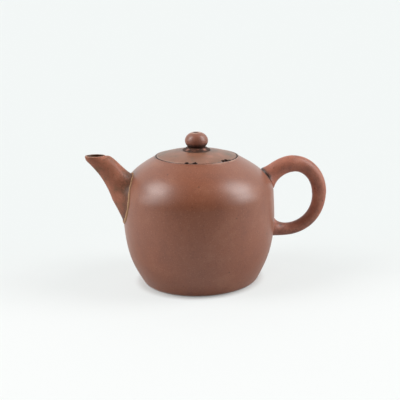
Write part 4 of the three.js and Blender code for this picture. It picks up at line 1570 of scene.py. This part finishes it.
FLOOR_RADIUS = 14
FRONT = (math.sin(math.radians(CAMERA_AZIMUTH)), -math.cos(math.radians(CAMERA_AZIMUTH)), 0.0)
PAPER = screen_colour(251, 253, 252)
FAR_PAPER = screen_colour(243, 247, 246)
PAPER_NEAR = 100 * MM
PAPER_FAR = -120 * MM
PAPER_WHITENESS = 0.72
PAPER_BOUNCE = 0.55
PAPER_END = 130 * MM
BEYOND_PAPER = 0.12
PAPER_GLOW = 0.72
CONTACT_GLOW = 0.2
CONTACT_CENTRE = (-0.8 * MM, 0, 0)
CONTACT_RADIUS = 36 * MM
CONTACT_REACH = 6 * MM
FLOOR_SIDES = 96
SKY = screen_colour(243, 247, 246)
SKY_LIGHT = 1.25
DARK_SIDE = 0.06
DARK_SIDE_FROM = 0.1
LAMP_SPREAD = 31

# Lamps: azimuth from the photograph's camera to the right, elevation, and strength
LAMPS = {
    "left_lamp": (-89, 47, 1.4),
    "left_lamp_middle": (-73, 33, 0.8),
    "left_lamp_foot": (-82, 12, 0.6),
    "left_lamp_front": (-60, 20, 0.17),
    "right_lamp": (93, 46, 1.4),
    "right_lamp_middle": (81, 30, 0.95),
    "right_lamp_foot": (82, 11, 0.65),
    "right_lamp_front": (66, 14, 0.26),
}


def paper_floor():
    turn = np.linspace(0, 2 * math.pi, FLOOR_SIDES, endpoint=False)
    points = np.stack([FLOOR_RADIUS * np.cos(turn), FLOOR_RADIUS * np.sin(turn), 0 * turn], axis=1)
    mesh = bpy.data.meshes.new("paper_floor")
    mesh.from_pydata(points.tolist(), [], [list(range(len(points)))])
    floor = bpy.data.objects.new("paper_floor", mesh)
    bpy.context.scene.collection.objects.link(floor)
    material = bpy.data.materials.new("white paper")
    material.use_nodes = True
    tree = material.node_tree
    shader = tree.nodes["Principled BSDF"]
    towards = measured(tree, where(tree), FRONT, "DOT_PRODUCT")
    paper = blended(tree, ranged(tree, towards, PAPER_FAR, PAPER_NEAR), FAR_PAPER, PAPER)
    seen = add(tree, "LightPath").outputs["Is Camera Ray"]
    bounce = ranged(tree, towards, PAPER_END, 2 * PAPER_END, PAPER_BOUNCE, BEYOND_PAPER)
    whiteness = add(tree, "Mix", {0: seen, 2: bounce, 3: PAPER_WHITENESS}).outputs[0]
    lit = blended(tree, 1.0, paper, whiteness, "MULTIPLY")
    tree.links.new(lit, shader.inputs["Base Color"])
    shader.inputs["Roughness"].default_value = 1
    shader.inputs["Specular IOR Level"].default_value = 0
    glow = add(tree, "Emission", {"Color": paper, "Strength": 1.0}).outputs[0]
    away = measured(tree, where(tree), CONTACT_CENTRE, "DISTANCE")
    reach = CONTACT_RADIUS + CONTACT_REACH
    share = ranged(tree, away, CONTACT_RADIUS, reach, CONTACT_GLOW, PAPER_GLOW)
    share = times(tree, seen, share)
    mixed = add(tree, "MixShader", {0: share, 1: shader.outputs[0], 2: glow}).outputs[0]
    tree.links.new(mixed, tree.nodes["Material Output"].inputs["Surface"])
    mesh.materials.append(material)


def white_room():
    world = bpy.data.worlds.new("white room")
    world.use_nodes = True
    bpy.context.scene.world = world
    tree = world.node_tree
    way = add(tree, "TexCoord").outputs["Generated"]
    front = measured(tree, way, FRONT, "DOT_PRODUCT")
    room = ranged(tree, front, -1.0, DARK_SIDE_FROM, to_low=1.0, to_high=DARK_SIDE)
    light = tree.nodes["Background"]
    light.inputs["Color"].default_value = (1, 1, 1, 1)
    tree.links.new(times(tree, room, SKY_LIGHT), light.inputs["Strength"])
    path = add(tree, "LightPath").outputs
    straight = calculate(tree, "MAXIMUM", path["Is Camera Ray"], path["Is Transmission Ray"])
    brightness = calculate(tree, "MAXIMUM", straight, room)
    seen = add(tree, "Background", {"Color": SKY, "Strength": brightness}).outputs[0]
    share = calculate(tree, "MAXIMUM", straight, path["Is Glossy Ray"])
    mixed = add(tree, "MixShader", {0: share, 1: light.outputs[0], 2: seen}).outputs[0]
    tree.links.new(mixed, tree.nodes["World Output"].inputs["Surface"])


def outward(azimuth, elevation):
    """The way out from the pot, with the azimuth turned from -Y towards +X."""
    turn = math.radians(azimuth)
    rise = math.radians(elevation)
    level = math.cos(rise)
    return Vector((math.sin(turn) * level, -math.cos(turn) * level, math.sin(rise)))


def lamp(name, azimuth, elevation, strength):
    light = bpy.data.lights.new(name, "SUN")
    light.energy = strength
    light.angle = math.radians(LAMP_SPREAD)
    towards = outward(azimuth + CAMERA_AZIMUTH, elevation)
    piece = bpy.data.objects.new(name, light)
    piece.rotation_euler = towards.to_track_quat("Z", "Y").to_euler()
    bpy.context.scene.collection.objects.link(piece)


def camera():
    turn = math.radians(CAMERA_AZIMUTH)
    back = outward(CAMERA_AZIMUTH, CAMERA_ELEVATION)
    aside = Vector((math.cos(turn), math.sin(turn), 0)) * CAMERA_TARGET_ASIDE
    lens = bpy.data.cameras.new("camera")
    lens.sensor_width = CAMERA_SENSOR
    lens.lens = CAMERA_LENS
    lens.clip_start = CAMERA_NEAREST
    seer = bpy.data.objects.new("camera", lens)
    seer.location = aside + Vector((0, 0, CAMERA_TARGET_HEIGHT)) + back * CAMERA_DISTANCE
    roll = Quaternion((0, 0, 1), -math.radians(CAMERA_ROLL))
    seer.rotation_euler = (back.to_track_quat("Z", "Y") @ roll).to_euler()
    bpy.context.scene.collection.objects.link(seer)
    bpy.context.scene.camera = seer


paper_floor()
white_room()
for name, (azimuth, elevation, strength) in LAMPS.items():
    lamp(name, azimuth, elevation, strength)
camera()
bpy.context.scene.view_settings.view_transform = "Standard"
